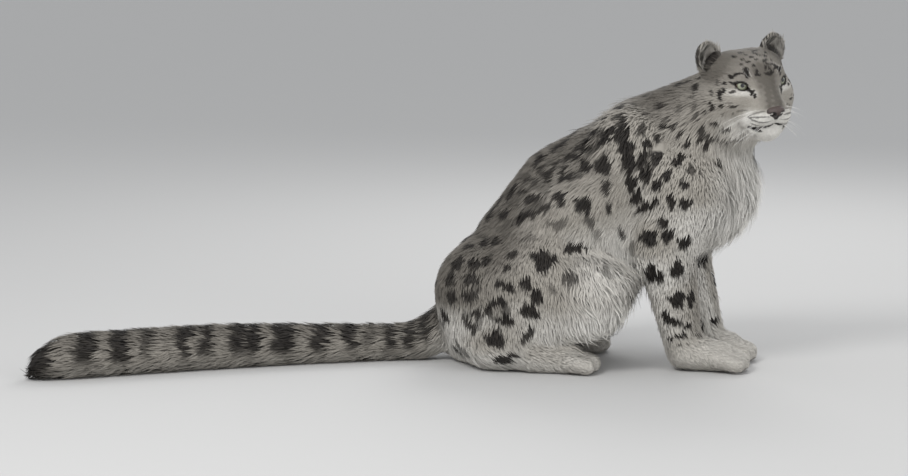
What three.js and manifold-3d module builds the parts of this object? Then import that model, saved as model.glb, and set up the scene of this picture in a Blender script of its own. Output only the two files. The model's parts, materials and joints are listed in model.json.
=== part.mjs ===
// A snow leopard at life size, sitting with straight forelegs, its head turned to its right and its
// long tail laid out behind it. Millimetres, +X towards the chest, +Y to the animal's left, +Z up.
// The origin is the middle of the seat, where the pelvis rests on the floor.
import * as THREE from "three";
import { mergeVertices } from "three/addons/utils/BufferGeometryUtils.js";
import Module from "manifold-3d";

const wasm = await Module();
wasm.setup();

// Driving dimensions
const GAP = 0.3; // air between pieces that touch
const SLIVER = 0.12; // edges shorter than this are closed up
const SIDES = { right: -1, left: 1 };
const CUT_BOX = 6000; // far larger than the animal
const HEAD_AT = [557, -48, 618]; // middle of the braincase
const HEAD_YAW = -59.5; // degrees, the face turned to the animal's right
const HEAD_PITCH = 6; // degrees, nose down
const HEAD_ROLL = 5.5; // degrees, the left ear higher
const TAIL_REACH = 849; // how far the tail runs back from its root
const TAIL_SWEEP = 380; // how far its tip lies to the animal's right
const TAIL_ROOT = [-80, 0, 84];
const TAIL_RADIUS = { root: 52, slim: 42, full: 50 };
const FORELEG_STEP = 40; // the left forefoot stands this far ahead of the right
const EYE_RADIUS = 16.5;
const EYE_AT = [70, 42, 15]; // middle of the left eyeball, in the head's frame
const EYE_TURN = 24; // degrees that each eye looks outwards
const EYE_SLANT = 16; // degrees that the outer corner lies above the inner one
const EYE_OPENING = { half: 15, upper: 15, lower: 13 }; // of the almond between the lids
const LID = 4; // thickness of the lids over the eyeball
const NOSE_AT = [139, 0, -30];
const NOSE_RADII = [14, 21, 13];
const EAR_AT = [-12, 75, 62]; // middle of the left ear, in the head's frame
const EAR_RADII = [20, 31, 41];
const EAR_CUP_RADII = [22, 25, 35];
const EAR_CUP_AT = [14, 0, 2]; // how far the cup lies ahead of the ear's own middle
const EAR_LEAN = 17; // degrees outwards
const MOUTH_GROOVE = 2.6;

// Locks of the long coat: how long, wide and thick each kind is, how deep its root is sunk and how high
// its tip lies over the body.
const LOCKS = {
  bib: { length: 98, width: 46, thick: 10, sink: 9, lift: 10 },
  ruff: { length: 50, width: 29, thick: 8, sink: 7, lift: 7 },
  belly: { length: 84, width: 38, thick: 9, sink: 8, lift: 9 },
  knee: { length: 64, width: 36, thick: 9, sink: 8, lift: 8 },
  feather: { length: 52, width: 28, thick: 8, sink: 7, lift: 7 },
};
const LOCK_RINGS = [0, 0.36, 0.72]; // along its length, where a lock has four corners
const LOCK_WIDTHS = [0.75, 1, 0.66];
const LOCK_DEPTHS = [1, 0.85, 0.6];

const vec = (p) => new THREE.Vector3(...p);
const mirrored = (p, side) => [p[0], p[1] * side, p[2]];

// Fields: functions that are negative inside the flesh and grow by about 1 for each millimetre outside.
const limb = (from, to, startRadius, endRadius, wide = 1) => {
  const a = vec(from);
  const axis = vec(to).sub(a);
  const length2 = Math.max(axis.lengthSq(), 1e-6);
  return (p) => {
    const d = p.clone().sub(a);
    const t = THREE.MathUtils.clamp(d.dot(axis) / length2, 0, 1);
    const radius = THREE.MathUtils.lerp(startRadius, endRadius, t);
    d.addScaledVector(axis, -t);
    const near = Math.hypot(d.x, d.y / wide, d.z);
    const slope = Math.hypot(d.x, d.y / wide ** 2, d.z);
    return slope < 1e-6 ? -radius : ((near - radius) * near) / slope;
  };
};

const lump = (centre, radii) => (p) => {
  const d = p.clone().sub(vec(centre));
  const near = Math.hypot(d.x / radii[0], d.y / radii[1], d.z / radii[2]);
  const slope = Math.hypot(d.x / radii[0] ** 2, d.y / radii[1] ** 2, d.z / radii[2] ** 2);
  return slope < 1e-9 ? -Math.min(...radii) : (near * (near - 1)) / slope;
};

const smoothMin = (a, b, soft) => {
  const h = Math.max(soft - Math.abs(a - b), 0) / soft;
  return Math.min(a, b) - (h * h * soft) / 4;
};

const blended = (soft, fields) => (p) =>
  fields.reduce((value, field) => smoothMin(value, field(p), soft), 1e4);

// The head's own frame: x from the braincase to the nose, y to its left, z up.
const headTurn = new THREE.Matrix4().makeRotationFromEuler(
  new THREE.Euler(
    THREE.MathUtils.degToRad(HEAD_ROLL),
    THREE.MathUtils.degToRad(HEAD_PITCH),
    THREE.MathUtils.degToRad(HEAD_YAW),
    "ZYX",
  ),
);
const headFrame = headTurn.clone().setPosition(...HEAD_AT);
const headInverse = headFrame.clone().invert();

const bothSides = (make) => Object.values(SIDES).flatMap((side) => make(side));

function headField() {
  const skull = [
    lump([-8, 0, 10], [84, 76, 64]), // braincase
    lump([44, 0, 14], [60, 58, 54]), // forehead
    ...bothSides((s) => [
      lump([32, 50 * s, -22], [52, 42, 46]), // cheekbone
      lump([-6, 68 * s, -42], [50, 42, 62]), // ruff below the ear
      lump([20, 40 * s, -80], [52, 38, 36]), // jaw and its fur
    ]),
    limb([62, 0, -14], [108, 0, -34], 48, 32, 1.08), // muzzle
  ];
  const details = [
    limb([76, 0, 16], [126, 0, -20], 28, 18, 1.08), // bridge of the nose
    ...bothSides((s) => [
      lump([72, 36 * s, 36], [20, 21, 13]), // brow
      lump([116, 21 * s, -44], [28, 23, 20]), // whisker pad
      lump([92, 30 * s, -52], [30, 24, 22]), // upper lip
      limb([122, 10 * s, -70], [98, 32 * s, -72], 9, 8), // lower lip
    ]),
    lump([105, 0, -80], [27, 25, 18]), // chin
    limb([40, 0, -78], [96, 0, -80], 34, 22, 1.1), // lower jaw
  ];
  const skullField = blended(34, skull);
  const detailField = blended(14, details);
  return (p) => {
    const local = p.clone().applyMatrix4(headInverse);
    return smoothMin(skullField(local), detailField(local), 16);
  };
}

function trunkField() {
  return blended(60, [
    limb([34, 0, 142], [94, 0, 245], 110, 111, 1.18), // pelvis to loin
    limb([94, 0, 245], [197, 0, 332], 111, 144, 0.96), // loin to ribs
    limb([197, 0, 332], [312, 0, 383], 144, 152, 0.87), // ribs to withers
    limb([312, 0, 385], [420, 0, 400], 152, 138, 0.88), // withers to brisket
    limb([150, 0, 245], [262, 0, 245], 122, 100, 0.95), // belly
    lump([455, 0, 385], [134, 118, 120]), // breast
    limb([-44, 0, 36], [60, 0, 44], 40, 58, 1.6), // seat
    ...bothSides((s) => [limb([20, 62 * s, 103], [60, 70 * s, 103], 103, 98)]), // buttock
  ]);
}

function neckField() {
  return blended(50, [
    limb([375, 0, 486], [505, -22, 566], 114, 88, 0.96),
    limb([430, 0, 450], [518, -28, 540], 118, 86, 0.93), // throat
  ]);
}

function foreLegField(side) {
  const step = side > 0 ? FORELEG_STEP : 0;
  const shoulder = [440, 84 * side, 392];
  const elbow = [392 + step / 2, 80 * side, 275];
  const wrist = [430 + step, 62 * side, 84];
  return blended(34, [
    limb([318, 66 * side, 492], shoulder, 78, 84), // shoulder blade
    limb(shoulder, elbow, 84, 72), // upper arm
    limb(elbow, wrist, 66, 45),
  ]);
}

function pawField(side, heel, reach, height, spread) {
  const toes = [-1.5, -0.5, 0.5, 1.5].map((k) => {
    const lead = reach - 9 * Math.abs(Math.abs(k) - 0.5);
    const at = [heel[0] + lead - 22, heel[1] + k * spread, 20];
    const back = [heel[0] + reach * 0.45, heel[1] + k * spread * 0.7, height * 0.55];
    return limb(back, at, height * 0.42, 20);
  });
  return blended(12, [
    limb([heel[0], heel[1], height * 0.7], [heel[0] + reach * 0.55, heel[1], height * 0.5],
      height * 0.72, height * 0.6, 1.15),
    ...toes,
  ]);
}

const forePawField = (side) => {
  const step = side > 0 ? FORELEG_STEP - 28 : 0;
  return pawField(side, [440 + step, 63 * side, 0], 142, 58, 25);
};

function hindLegField(side) {
  const hip = [12, 76 * side, 165];
  const knee = [238, 112 * side, 182];
  const hock = [28, 122 * side, 62];
  return blended(40, [
    limb(hip, knee, 118, 84), // thigh
    limb([120, 96 * side, 215], [225, 108 * side, 150], 96, 84), // its upper face
    limb(knee, hock, 80, 54), // shank
    limb(hock, [150, 128 * side, 42], 50, 40), // long foot
  ]);
}

const hindPawField = (side) => pawField(side, [118, 130 * side, 0], 146, 54, 22);

// The tail's middle line, from its root to the tip, t from 0 to 1.
function tailPoint(t) {
  const back = TAIL_ROOT[0] - TAIL_REACH * t;
  const aside = -TAIL_SWEEP * t ** 1.35;
  const rest = tailRadius(t) - 4;
  const lift = THREE.MathUtils.clamp(1 - t / 0.1, 0, 1) ** 2;
  return [back, aside, rest + lift * (TAIL_ROOT[2] - rest)];
}

function tailRadius(t) {
  const { root, slim, full } = TAIL_RADIUS;
  if (t < 0.12) return THREE.MathUtils.lerp(root, slim, t / 0.12);
  const body = THREE.MathUtils.lerp(slim, full, THREE.MathUtils.smoothstep(t, 0.12, 0.65));
  const tip = THREE.MathUtils.clamp((1 - t) / 0.11, 0, 1);
  return Math.max(body * Math.sqrt(tip * (2 - tip)), 9);
}

function tailField() {
  const steps = 26;
  const lengths = Array.from({ length: steps }, (_, k) => {
    const [t, next] = [k / steps, (k + 1) / steps];
    return limb(tailPoint(t), tailPoint(next), tailRadius(t), tailRadius(next));
  });
  return blended(10, lengths);
}

// Where the coat is long the flesh under its locks lies this much deeper, from the middle of each patch
// out to its edge.
const hollows = bothSides((s) => [
  { centre: [585, 0, 370], reach: [140, 190, 180], depth: 8 },
  { centre: vec([0, 96 * s, -55]).applyMatrix4(headFrame).toArray(), reach: [62, 62, 72], depth: 9 },
  { centre: [270, 118 * s, 245], reach: [95, 80, 90], depth: 10 },
  { centre: [318, 112 * s, 150], reach: [80, 90, 90], depth: 9 },
  { centre: [372, 72 * s, 190], reach: [50, 60, 80], depth: 6 },
]);

function hollowDepth(p) {
  return hollows.reduce((sum, { centre, reach, depth }) => {
    const [x, y, z] = centre.map((v, i) => (p.getComponent(i) - v) / reach[i]);
    return sum + depth * Math.max(1 - x * x - y * y - z * z, 0) ** 2;
  }, 0);
}

const parts = {
  head: headField(),
  neck: neckField(),
  trunk: trunkField(),
  tail: tailField(),
};
for (const [name, side] of Object.entries(SIDES)) {
  parts[`foreleg_${name}`] = foreLegField(side);
  parts[`forepaw_${name}`] = forePawField(side);
  parts[`hindleg_${name}`] = hindLegField(side);
  parts[`hindpaw_${name}`] = hindPawField(side);
}

function fleshField(p) {
  let value = smoothMin(parts.trunk(p), parts.neck(p), 50);
  value = smoothMin(value, parts.head(p), 26);
  value = smoothMin(value, parts.tail(p), 34);
  for (const name of Object.keys(SIDES)) {
    const fore = smoothMin(parts[`foreleg_${name}`](p), parts[`forepaw_${name}`](p), 22);
    const hind = smoothMin(parts[`hindleg_${name}`](p), parts[`hindpaw_${name}`](p), 22);
    value = smoothMin(value, fore, 30);
    value = smoothMin(value, hind, 34);
  }
  return value + hollowDepth(p);
}

// A net that pinches two sheets of the surface together is drawn again on a grid moved along a little,
// and a grown copy of the same form keeps the grid that its own form was drawn on.
const gridOf = {};
function surface(name, field, low, high, cell, level) {
  if (level > 0) return netOn(field, gridOf[name], high, cell, level);
  let from = low;
  let net = netOn(field, from, high, cell, level);
  while (pinched(net)) {
    from = from.map((v, i) => v - cell * 0.13 * (i + 1));
    net = netOn(field, from, high, cell, level);
  }
  gridOf[name] = from;
  return net;
}

function pinched(geometry) {
  const corners = geometry.index.array;
  const uses = new Map();
  for (let i = 0; i < corners.length; i += 3) {
    const [a, b, c] = corners.slice(i, i + 3);
    if (a === b || b === c || c === a) continue;
    for (const [from, to] of [[a, b], [b, c], [c, a]]) {
      const key = Math.min(from, to) * 1e6 + Math.max(from, to);
      uses.set(key, (uses.get(key) ?? 0) + 1);
    }
  }
  return [...uses.values()].some((count) => count !== 2);
}

// Surface nets: one vertex in each cell that the surface crosses, then moved onto the surface itself.
function netOn(field, low, high, cell, level) {
  const counts = low.map((v, i) => Math.ceil((high[i] - v) / cell) + 1);
  const [nx, ny, nz] = counts;
  const at = (i, j, k) => (k * ny + j) * nx + i;
  const values = new Float32Array(nx * ny * nz);
  const p = new THREE.Vector3();
  for (let k = 0; k < nz; k++)
    for (let j = 0; j < ny; j++)
      for (let i = 0; i < nx; i++) {
        p.set(low[0] + i * cell, low[1] + j * cell, low[2] + k * cell);
        values[at(i, j, k)] = field(p) - level;
      }
  const corners = [0, 1, 2, 3, 4, 5, 6, 7].map((c) => [c & 1, (c >> 1) & 1, c >> 2]);
  const edges = [];
  for (let a = 0; a < 8; a++)
    for (const bit of [1, 2, 4]) if (!(a & bit)) edges.push([a, a | bit]);
  const vertexOf = new Map();
  const positions = [];
  for (let k = 0; k < nz - 1; k++)
    for (let j = 0; j < ny - 1; j++)
      for (let i = 0; i < nx - 1; i++) {
        const v = corners.map(([a, b, c]) => values[at(i + a, j + b, k + c)]);
        const sum = new THREE.Vector3();
        let crossed = 0;
        for (const [a, b] of edges) {
          if (v[a] < 0 === v[b] < 0) continue;
          const t = v[a] / (v[a] - v[b]);
          sum.add(vec(corners[a]).lerp(vec(corners[b]), t));
          crossed++;
        }
        if (!crossed) continue;
        sum.divideScalar(crossed).add(vec([i, j, k])).multiplyScalar(cell).add(vec(low));
        vertexOf.set(at(i, j, k), positions.length / 3);
        positions.push(...settled(field, sum, level, cell).toArray());
      }
  const faces = [];
  const steps = [[1, 0, 0], [0, 1, 0], [0, 0, 1]];
  for (let k = 1; k < nz - 1; k++)
    for (let j = 1; j < ny - 1; j++)
      for (let i = 1; i < nx - 1; i++)
        steps.forEach((step, axis) => {
          const inside = values[at(i, j, k)] < 0;
          const beyond = values[at(i + step[0], j + step[1], k + step[2])] < 0;
          if (inside === beyond) return;
          const u = steps[(axis + 1) % 3];
          const w = steps[(axis + 2) % 3];
          const cellAt = (a, b) =>
            vertexOf.get(at(i - a * u[0] - b * w[0], j - a * u[1] - b * w[1], k - a * u[2] - b * w[2]));
          const quad = [cellAt(0, 0), cellAt(1, 0), cellAt(1, 1), cellAt(0, 1)];
          if (!inside) quad.reverse();
          faces.push(quad[0], quad[1], quad[2], quad[0], quad[2], quad[3]);
        });
  const geometry = new THREE.BufferGeometry();
  geometry.setAttribute("position", new THREE.Float32BufferAttribute(positions, 3));
  geometry.setIndex(faces);
  return geometry;
}

const slopeAt = (field, p) => {
  const h = 0.5;
  const change = (x, y, z) =>
    field(new THREE.Vector3(p.x + x, p.y + y, p.z + z)) -
    field(new THREE.Vector3(p.x - x, p.y - y, p.z - z));
  return new THREE.Vector3(change(h, 0, 0), change(0, h, 0), change(0, 0, h)).divideScalar(2 * h);
};

// A point moved along the field's slope to the surface, by at most part of a cell.
function settled(field, point, level, cell) {
  const p = point.clone();
  for (let k = 0; k < 3; k++) {
    const slope = slopeAt(field, p);
    p.addScaledVector(slope, -(field(p) - level) / Math.max(slope.lengthSq(), 0.2));
  }
  return p.sub(point).clampLength(0, cell * 0.5).add(point);
}

// Solids
function solid(geometry) {
  const bare = geometry.clone();
  for (const name of Object.keys(bare.attributes))
    if (name !== "position") bare.deleteAttribute(name);
  const merged = mergeVertices(bare, 1e-4);
  return new wasm.Manifold(
    new wasm.Mesh({
      numProp: 3,
      vertProperties: new Float32Array(merged.attributes.position.array),
      triVerts: new Uint32Array(merged.index.array),
    }),
  );
}

const largest = (made) =>
  made.decompose().reduce((best, piece) => (piece.volume() > best.volume() ? piece : best));

// A solid as a geometry, with the slivers that the cuts leave taken out, and with corners that share one
// point, where two sheets only just touch, drawn apart into the solid.
function geometryOf(made) {
  const mesh = made.asOriginal().simplify(SLIVER).getMesh();
  const geometry = new THREE.BufferGeometry();
  geometry.setAttribute("position", new THREE.BufferAttribute(mesh.vertProperties, 3));
  geometry.setIndex(new THREE.BufferAttribute(mesh.triVerts, 1));
  geometry.computeVertexNormals();
  const { position, normal } = geometry.attributes;
  const taken = new Set();
  for (let i = 0; i < position.count; i++) {
    const p = new THREE.Vector3().fromBufferAttribute(position, i);
    const key = p.toArray().map((v) => v.toFixed(3)).join();
    if (taken.has(key)) {
      p.addScaledVector(new THREE.Vector3().fromBufferAttribute(normal, i), -SLIVER / 3);
      position.setXYZ(i, ...p.toArray());
    }
    taken.add(key);
  }
  return geometry;
}

// Everything behind a plane: the side that its normal points away from.
function behind(point, normal, grow = 0) {
  const box = new THREE.BoxGeometry(CUT_BOX, CUT_BOX, CUT_BOX).translate(0, 0, -CUT_BOX / 2);
  const n = vec(normal).normalize();
  box.applyQuaternion(new THREE.Quaternion().setFromUnitVectors(new THREE.Vector3(0, 0, 1), n));
  box.translate(...vec(point).addScaledVector(n, grow).toArray());
  return solid(box);
}

const region = (planes, grow = 0) =>
  planes
    .map(([point, normal]) => behind(point, normal, grow))
    .reduce((whole, half) => whole.intersect(half));

const aboveFloor = behind([0, 0, 0], [0, 0, -1]);

// Where the body is parted: each region is a set of planes, and what is left is the torso.
const headSeam = [[497, -32, 600], [-0.754, 0.657, 0.1]];
const throatDown = new THREE.Vector3(0.2, 0, -0.98).transformDirection(headFrame);
const throatSeam = vec([20, 0, -121]).applyMatrix4(headFrame);
const tailSeam = (t) => {
  const here = vec(tailPoint(t));
  const ahead = vec(tailPoint(t + 0.01)).sub(here).setZ(0).normalize();
  return [here.toArray(), ahead.negate().toArray()];
};
const farSide = ([point, normal]) => [point, normal.map((v) => -v)];

const cuts = {
  head: [headSeam, [throatSeam.toArray(), throatDown.toArray()]],
  neck: [[[452, 0, 520], [-0.46, 0, -0.89]]],
};
for (const [name, side] of Object.entries(SIDES)) {
  const middle = [[0, 0, 0], [0, -side, 0]];
  const elbow = [[420, 0, 252], [0.25, 0, 1]];
  const step = side > 0 ? 24 : 0;
  cuts[`forepaw_${name}`] = [[[445 + step, 0, 74], [-0.28, 0, 1]], [[390, 0, 0], [-1, 0, 0]], middle];
  cuts[`foreleg_${name}`] = [elbow, [[362, 0, 150], [-1, 0, 0]], middle];
  cuts[`hindpaw_${name}`] = [[[150, 0, 64], [0.12, 0, 1]], [[118, 0, 0], [-1, 0, 0.1]],
    [[0, 78 * side, 0], [0, -side, 0]]];
  cuts[`hindleg_${name}`] = [[[150, 0, 262], [0.42, 0, 1]], [[0, 92 * side, 0], [0, -side, 0]],
    [[352, 0, 150], [1, 0, 0]], [[-42, 0, 120], [-1, 0, 0.5]]];
}
const tailSeams = [0.035, 0.28, 0.53, 0.77];
tailSeams.forEach((t, k) => {
  const next = tailSeams[k + 1];
  cuts[`tail_${k + 1}`] = next ? [tailSeam(t), farSide(tailSeam(next))] : [tailSeam(t)];
});
cuts.torso_front = [[[225, 0, 330], [-0.82, 0, -0.57]]];

const CELLS = { head: 12.4, neck: 34, foreleg: 27, forepaw: 15.5, hindleg: 35, hindpaw: 17, tail: 33,
  torso_front: 45, torso_rear: 45 };
const BOXES = {
  head: [[390, -260, 420], [760, 150, 780]],
  neck: [[280, -270, 330], [690, 190, 750]],
  foreleg: [[320, 0, -30], [560, 170, 300]],
  forepaw: [[370, 0, -30], [640, 150, 120]],
  hindleg: [[-130, 50, -30], [400, 260, 390]],
  hindpaw: [[90, 50, -30], [320, 220, 110]],
  tail: [[-1000, -460, -30], [-40, 110, 180]],
  torso_front: [[50, -270, 60], [680, 250, 700]],
  torso_rear: [[-200, -250, -90], [420, 250, 540]],
};
const kindOf = (name) => name.replace(/_(left|right|\d)$/, "");

function boxOf(name) {
  const [low, high] = BOXES[kindOf(name)];
  return name.endsWith("right")
    ? [[low[0], -high[1], low[2]], [high[0], -low[1], high[2]]]
    : [low, high];
}

const order = ["head", "neck", "forepaw_left", "forepaw_right", "foreleg_left", "foreleg_right",
  "hindpaw_left", "hindpaw_right", "hindleg_left", "hindleg_right", "tail_1", "tail_2", "tail_3",
  "tail_4", "torso_front"];

const NEIGHBOURS = {
  head: ["neck", "torso_front"],
  torso_front: ["head", "neck", "foreleg_left", "foreleg_right", "hindleg_left", "hindleg_right", "torso_rear"],
  torso_rear: ["torso_front", "hindleg_left", "hindleg_right", "hindpaw_left", "hindpaw_right", "tail_1"],
};
for (const name of Object.keys(SIDES)) {
  NEIGHBOURS[`hindleg_${name}`] = ["torso_rear", "torso_front", `hindpaw_${name}`];
  NEIGHBOURS[`foreleg_${name}`] = ["torso_front", "torso_rear", `forepaw_${name}`];
}

function core(name, level = 0) {
  const [low, high] = boxOf(name);
  const walls = (p) =>
    Math.max(low[0] - p.x, p.x - high[0], low[1] - p.y, p.y - high[1], low[2] - p.z, p.z - high[2]);
  const cell = CELLS[kindOf(name)];
  const margin = 1.6 * cell;
  const field = (p) => Math.max(fleshField(p), walls(p) + margin * 0.5);
  const lowGrid = low.map((v) => v - cell);
  const highGrid = high.map((v) => v + cell);
  let made = solid(surface(name, field, lowGrid, highGrid, cell, level)).intersect(aboveFloor);
  if (cuts[name]) made = made.intersect(region(cuts[name], level));
  const before = name === "torso_rear" ? order : order.slice(0, order.indexOf(name));
  for (const other of before) made = made.subtract(region(cuts[other], GAP - level));
  return largest(made);
}

// The head's small forms
const eyePlace = (side) => {
  const look = new THREE.Matrix4().makeRotationZ(side * THREE.MathUtils.degToRad(EYE_TURN));
  const upright = new THREE.Matrix4().makeBasis(
    new THREE.Vector3(0, 1, 0),
    new THREE.Vector3(0, 0, 1),
    new THREE.Vector3(1, 0, 0),
  );
  const slant = new THREE.Matrix4().makeRotationZ(side * THREE.MathUtils.degToRad(EYE_SLANT));
  return headFrame
    .clone()
    .multiply(new THREE.Matrix4().setPosition(...mirrored(EYE_AT, side)))
    .multiply(look)
    .multiply(upright)
    .multiply(slant);
};

const ball = (radius) => new THREE.SphereGeometry(radius, 14, 8);
const eyeball = (side, grow = 0) => solid(ball(EYE_RADIUS + grow).applyMatrix4(eyePlace(side)));
const lids = (side) => solid(ball(EYE_RADIUS + LID).applyMatrix4(eyePlace(side)));

// The almond between the lids, cut straight along the eye's gaze.
function eyeOpening(side) {
  const { half, upper, lower } = EYE_OPENING;
  const almond = new THREE.Shape();
  almond.moveTo(-half, 0);
  almond.quadraticCurveTo(0, -lower, half, 0);
  almond.quadraticCurveTo(0, upper, -half, 0);
  const cutter = new THREE.ExtrudeGeometry(almond, { depth: 40, curveSegments: 5, bevelEnabled: false });
  return solid(cutter.applyMatrix4(eyePlace(side)));
}

const nose = (grow = 0) =>
  solid(
    new THREE.SphereGeometry(1, 14, 8)
      .scale(...NOSE_RADII.map((r) => r + grow))
      .translate(...NOSE_AT)
      .applyMatrix4(headFrame),
  );

const nostril = (side) =>
  solid(
    new THREE.SphereGeometry(1, 8, 6)
      .scale(6, 4.2, 3.4)
      .rotateX(side * 0.5)
      .translate(150, 11 * side, -32)
      .applyMatrix4(headFrame),
  );

// A point of the muzzle's surface, on the line from inside the muzzle through a guide.
function onMuzzle(guide) {
  const inside = vec([80, 0, -50]).applyMatrix4(headFrame);
  const through = vec(guide).applyMatrix4(headFrame);
  let [near, far] = [0, 2];
  for (let k = 0; k < 24; k++) {
    const middle = (near + far) / 2;
    if (fleshField(inside.clone().lerp(through, middle)) < 0) near = middle;
    else far = middle;
  }
  return inside.lerp(through, near);
}

function groove(guides, steps) {
  const rim = new THREE.Shape(
    [0, 1, 2, 3, 4].map((k) => {
      const turn = (k * 2 * Math.PI) / 5;
      return new THREE.Vector2(MOUTH_GROOVE * Math.cos(turn), MOUTH_GROOVE * Math.sin(turn));
    }),
  );
  const extrudePath = new THREE.CatmullRomCurve3(guides.map(onMuzzle));
  return solid(new THREE.ExtrudeGeometry(rim, { steps, extrudePath, bevelEnabled: false }));
}

const MOUTH_GUIDES = [[94, 42, -64], [112, 34, -66], [130, 18, -63], [138, 0, -58]];
const mouthLine = [
  ...MOUTH_GUIDES,
  ...MOUTH_GUIDES.slice(0, -1).reverse().map((p) => mirrored(p, -1)),
];
const philtrum = [[140, 0, -38], [140, 0, -48], [138, 0, -58]];

function ear(side) {
  const shell = (radii, at) =>
    solid(
      new THREE.SphereGeometry(1, 14, 9)
        .scale(...radii)
        .translate(...at)
        .rotateX(-side * THREE.MathUtils.degToRad(EAR_LEAN))
        .translate(...mirrored(EAR_AT, side))
        .applyMatrix4(headFrame),
    );
  return shell(EAR_RADII, [0, 0, 0]).subtract(shell(EAR_CUP_RADII, EAR_CUP_AT));
}

// Where a line from inside the body leaves it, and the way out of the coat there.
function onCoat(inside, toward) {
  const from = vec(inside);
  const way = vec(toward).normalize();
  let [near, far] = [0, 260];
  for (let k = 0; k < 26; k++) {
    const middle = (near + far) / 2;
    if (fleshField(from.clone().addScaledVector(way, middle)) < 0) near = middle;
    else far = middle;
  }
  const root = from.addScaledVector(way, near);
  return { root, out: slopeAt(fleshField, root).normalize() };
}

let draw = 20260;
const vary = (share) => {
  draw = (draw * 16807) % 2147483647;
  return 1 + share * ((2 * draw) / 2147483647 - 1);
};

// Rows of locks over one patch: every other row is set half a step along, as tiles are.
function rows(kind, node, rowCount, count, place) {
  const made = [];
  for (let row = 0; row < rowCount; row++)
    for (let k = 0; k < count; k++) {
      const across = (k + (row % 2 ? 0.75 : 0.25) + 0.12 * (vary(1) - 1)) / count;
      const { inside, toward, lie } = place(across, rowCount > 1 ? row / (rowCount - 1) : 0);
      made.push({ node, size: LOCKS[kind], long: vary(0.18), broad: vary(0.15), lie: vec(lie),
        ...onCoat(inside, toward) });
    }
  return made;
}

const between = THREE.MathUtils.lerp;
const inHead = (p) => vec(p).applyMatrix4(headFrame).toArray();
const alongHead = (v) => vec(v).applyMatrix4(headTurn).toArray();

const locks = [
  ...bothSides((s) =>
    rows("ruff", "head", 3, 4, (across, down) => {
      const angle = between(0.35, -1.25, across);
      return {
        inside: inHead([between(34, -18, down), 30 * s, -38]),
        toward: alongHead([between(0.1, -0.1, down), s * Math.cos(angle), Math.sin(angle)]),
        lie: alongHead([-0.62, 0.3 * s, -0.72]),
      };
    }),
  ),
  ...rows("bib", "torso_front", 5, 7, (across, down) => {
    const angle = between(-1.3, 1.3, across);
    return {
      inside: [430, 0, between(452, 318, down)],
      toward: [Math.cos(angle), Math.sin(angle), between(0.1, -0.4, down)],
      lie: [0.12, 0.28 * Math.sin(angle), -1],
    };
  }),
  ...bothSides((s) =>
    rows("belly", "torso_rear", 3, 4, (across, down) => ({
      inside: [between(140, 285, across), 0, between(338, 280, down)],
      toward: [0, s, between(0.1, -0.4, down)],
      lie: [0.45, 0, -0.9],
    })),
  ),
  ...Object.entries(SIDES).flatMap(([name, s]) => [
    ...rows("knee", `hindleg_${name}`, 3, 4, (across, down) => ({
      inside: [between(205, 262, down), 112 * s, between(205, 120, across)],
      toward: [between(0.35, 1, down), s * between(1, 0.15, down), 0],
      lie: [0.5, 0, -0.86],
    })),
    ...rows("feather", `foreleg_${name}`, 1, 4, (across) => ({
      inside: [between(402, 425, across), 72 * s, between(232, 120, across)],
      toward: [-1, 0.35 * s * vary(0.6), 0],
      lie: [-0.12, 0, -1],
    })),
  ]),
];

// A lock as a flat blade: rings of four corners, closed at its sunk root and drawn to a point at its tip.
function lockSolid({ root, out, lie, size, long, broad }, grow = 0) {
  const along = lie.clone().addScaledVector(out, -lie.dot(out)).normalize();
  const across = new THREE.Vector3().crossVectors(along, out);
  const at = (t) => {
    const reach = size.length * long * (t - 0.15) + (t === 1 ? grow : 0);
    const p = root.clone().addScaledVector(along, reach);
    const height = THREE.MathUtils.lerp(-size.sink, size.lift, t ** 0.6);
    for (let k = 0; k < 2; k++) p.addScaledVector(out, height - fleshField(p));
    return p;
  };
  const points = LOCK_RINGS.flatMap((t, k) => {
    const half = (size.width * broad * LOCK_WIDTHS[k]) / 2 + grow;
    const depth = (size.thick * LOCK_DEPTHS[k]) / 2 + grow;
    return [[half, 0], [0, depth], [-half, 0], [0, -depth]].map(([a, b]) =>
      at(t).addScaledVector(across, a).addScaledVector(out, b),
    );
  });
  points.push(at(1));
  const tip = points.length - 1;
  const last = 4 * (LOCK_RINGS.length - 1);
  const faces = [0, 1, 2, 0, 2, 3];
  for (let corner = 0; corner < 4; corner++) {
    const next = (corner + 1) % 4;
    for (let ring = 0; ring < last; ring += 4)
      faces.push(ring + corner, ring + 4 + corner, ring + 4 + next, ring + corner, ring + 4 + next, ring + next);
    faces.push(last + corner, tip, last + next);
  }
  const blade = new THREE.BufferGeometry().setFromPoints(points).setIndex(faces);
  return solid(blade);
}

const locksOf = (node, grow = 0) =>
  wasm.Manifold.union(locks.filter((one) => one.node === node).map((one) => lockSolid(one, grow)));

const lockNodes = [...new Set(locks.map((one) => one.node))];
const kept = {};
const keep = (key, make) => (kept[key] ??= make());
const plainCore = (name) => keep(name, () => core(name));
const grownCore = (name) => plainCore(name) && keep(`${name} grown`, () => core(name, 5 * GAP));

// A node's core and its locks in one body, clear of the nodes beside it and of the locks made before.
function withLocks(node) {
  if (!lockNodes.includes(node)) return plainCore(node);
  const beside = NEIGHBOURS[node].map(grownCore);
  const earlier = lockNodes.slice(0, lockNodes.indexOf(node)).map((name) => locksOf(name, 2 * GAP));
  const tufts = wasm.Manifold.difference([locksOf(node), ...beside, ...earlier]);
  return largest(plainCore(node).add(tufts).intersect(aboveFloor));
}

function headWithFace() {
  let made = withLocks("head");
  for (const side of Object.values(SIDES)) {
    made = made.add(lids(side)).subtract(eyeOpening(side)).subtract(eyeball(side, GAP));
  }
  made = made.subtract(nose(GAP));
  return largest(made.subtract(groove(mouthLine, 18)).subtract(groove(philtrum, 3)));
}

const COAT = { color: 0xb9b3a6, roughness: 0.95, metalness: 0 };
const EYE = { color: 0x8f9a86, roughness: 0.08, metalness: 0 };
const NOSE = { color: 0x5a4640, roughness: 0.55, metalness: 0 };

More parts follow.
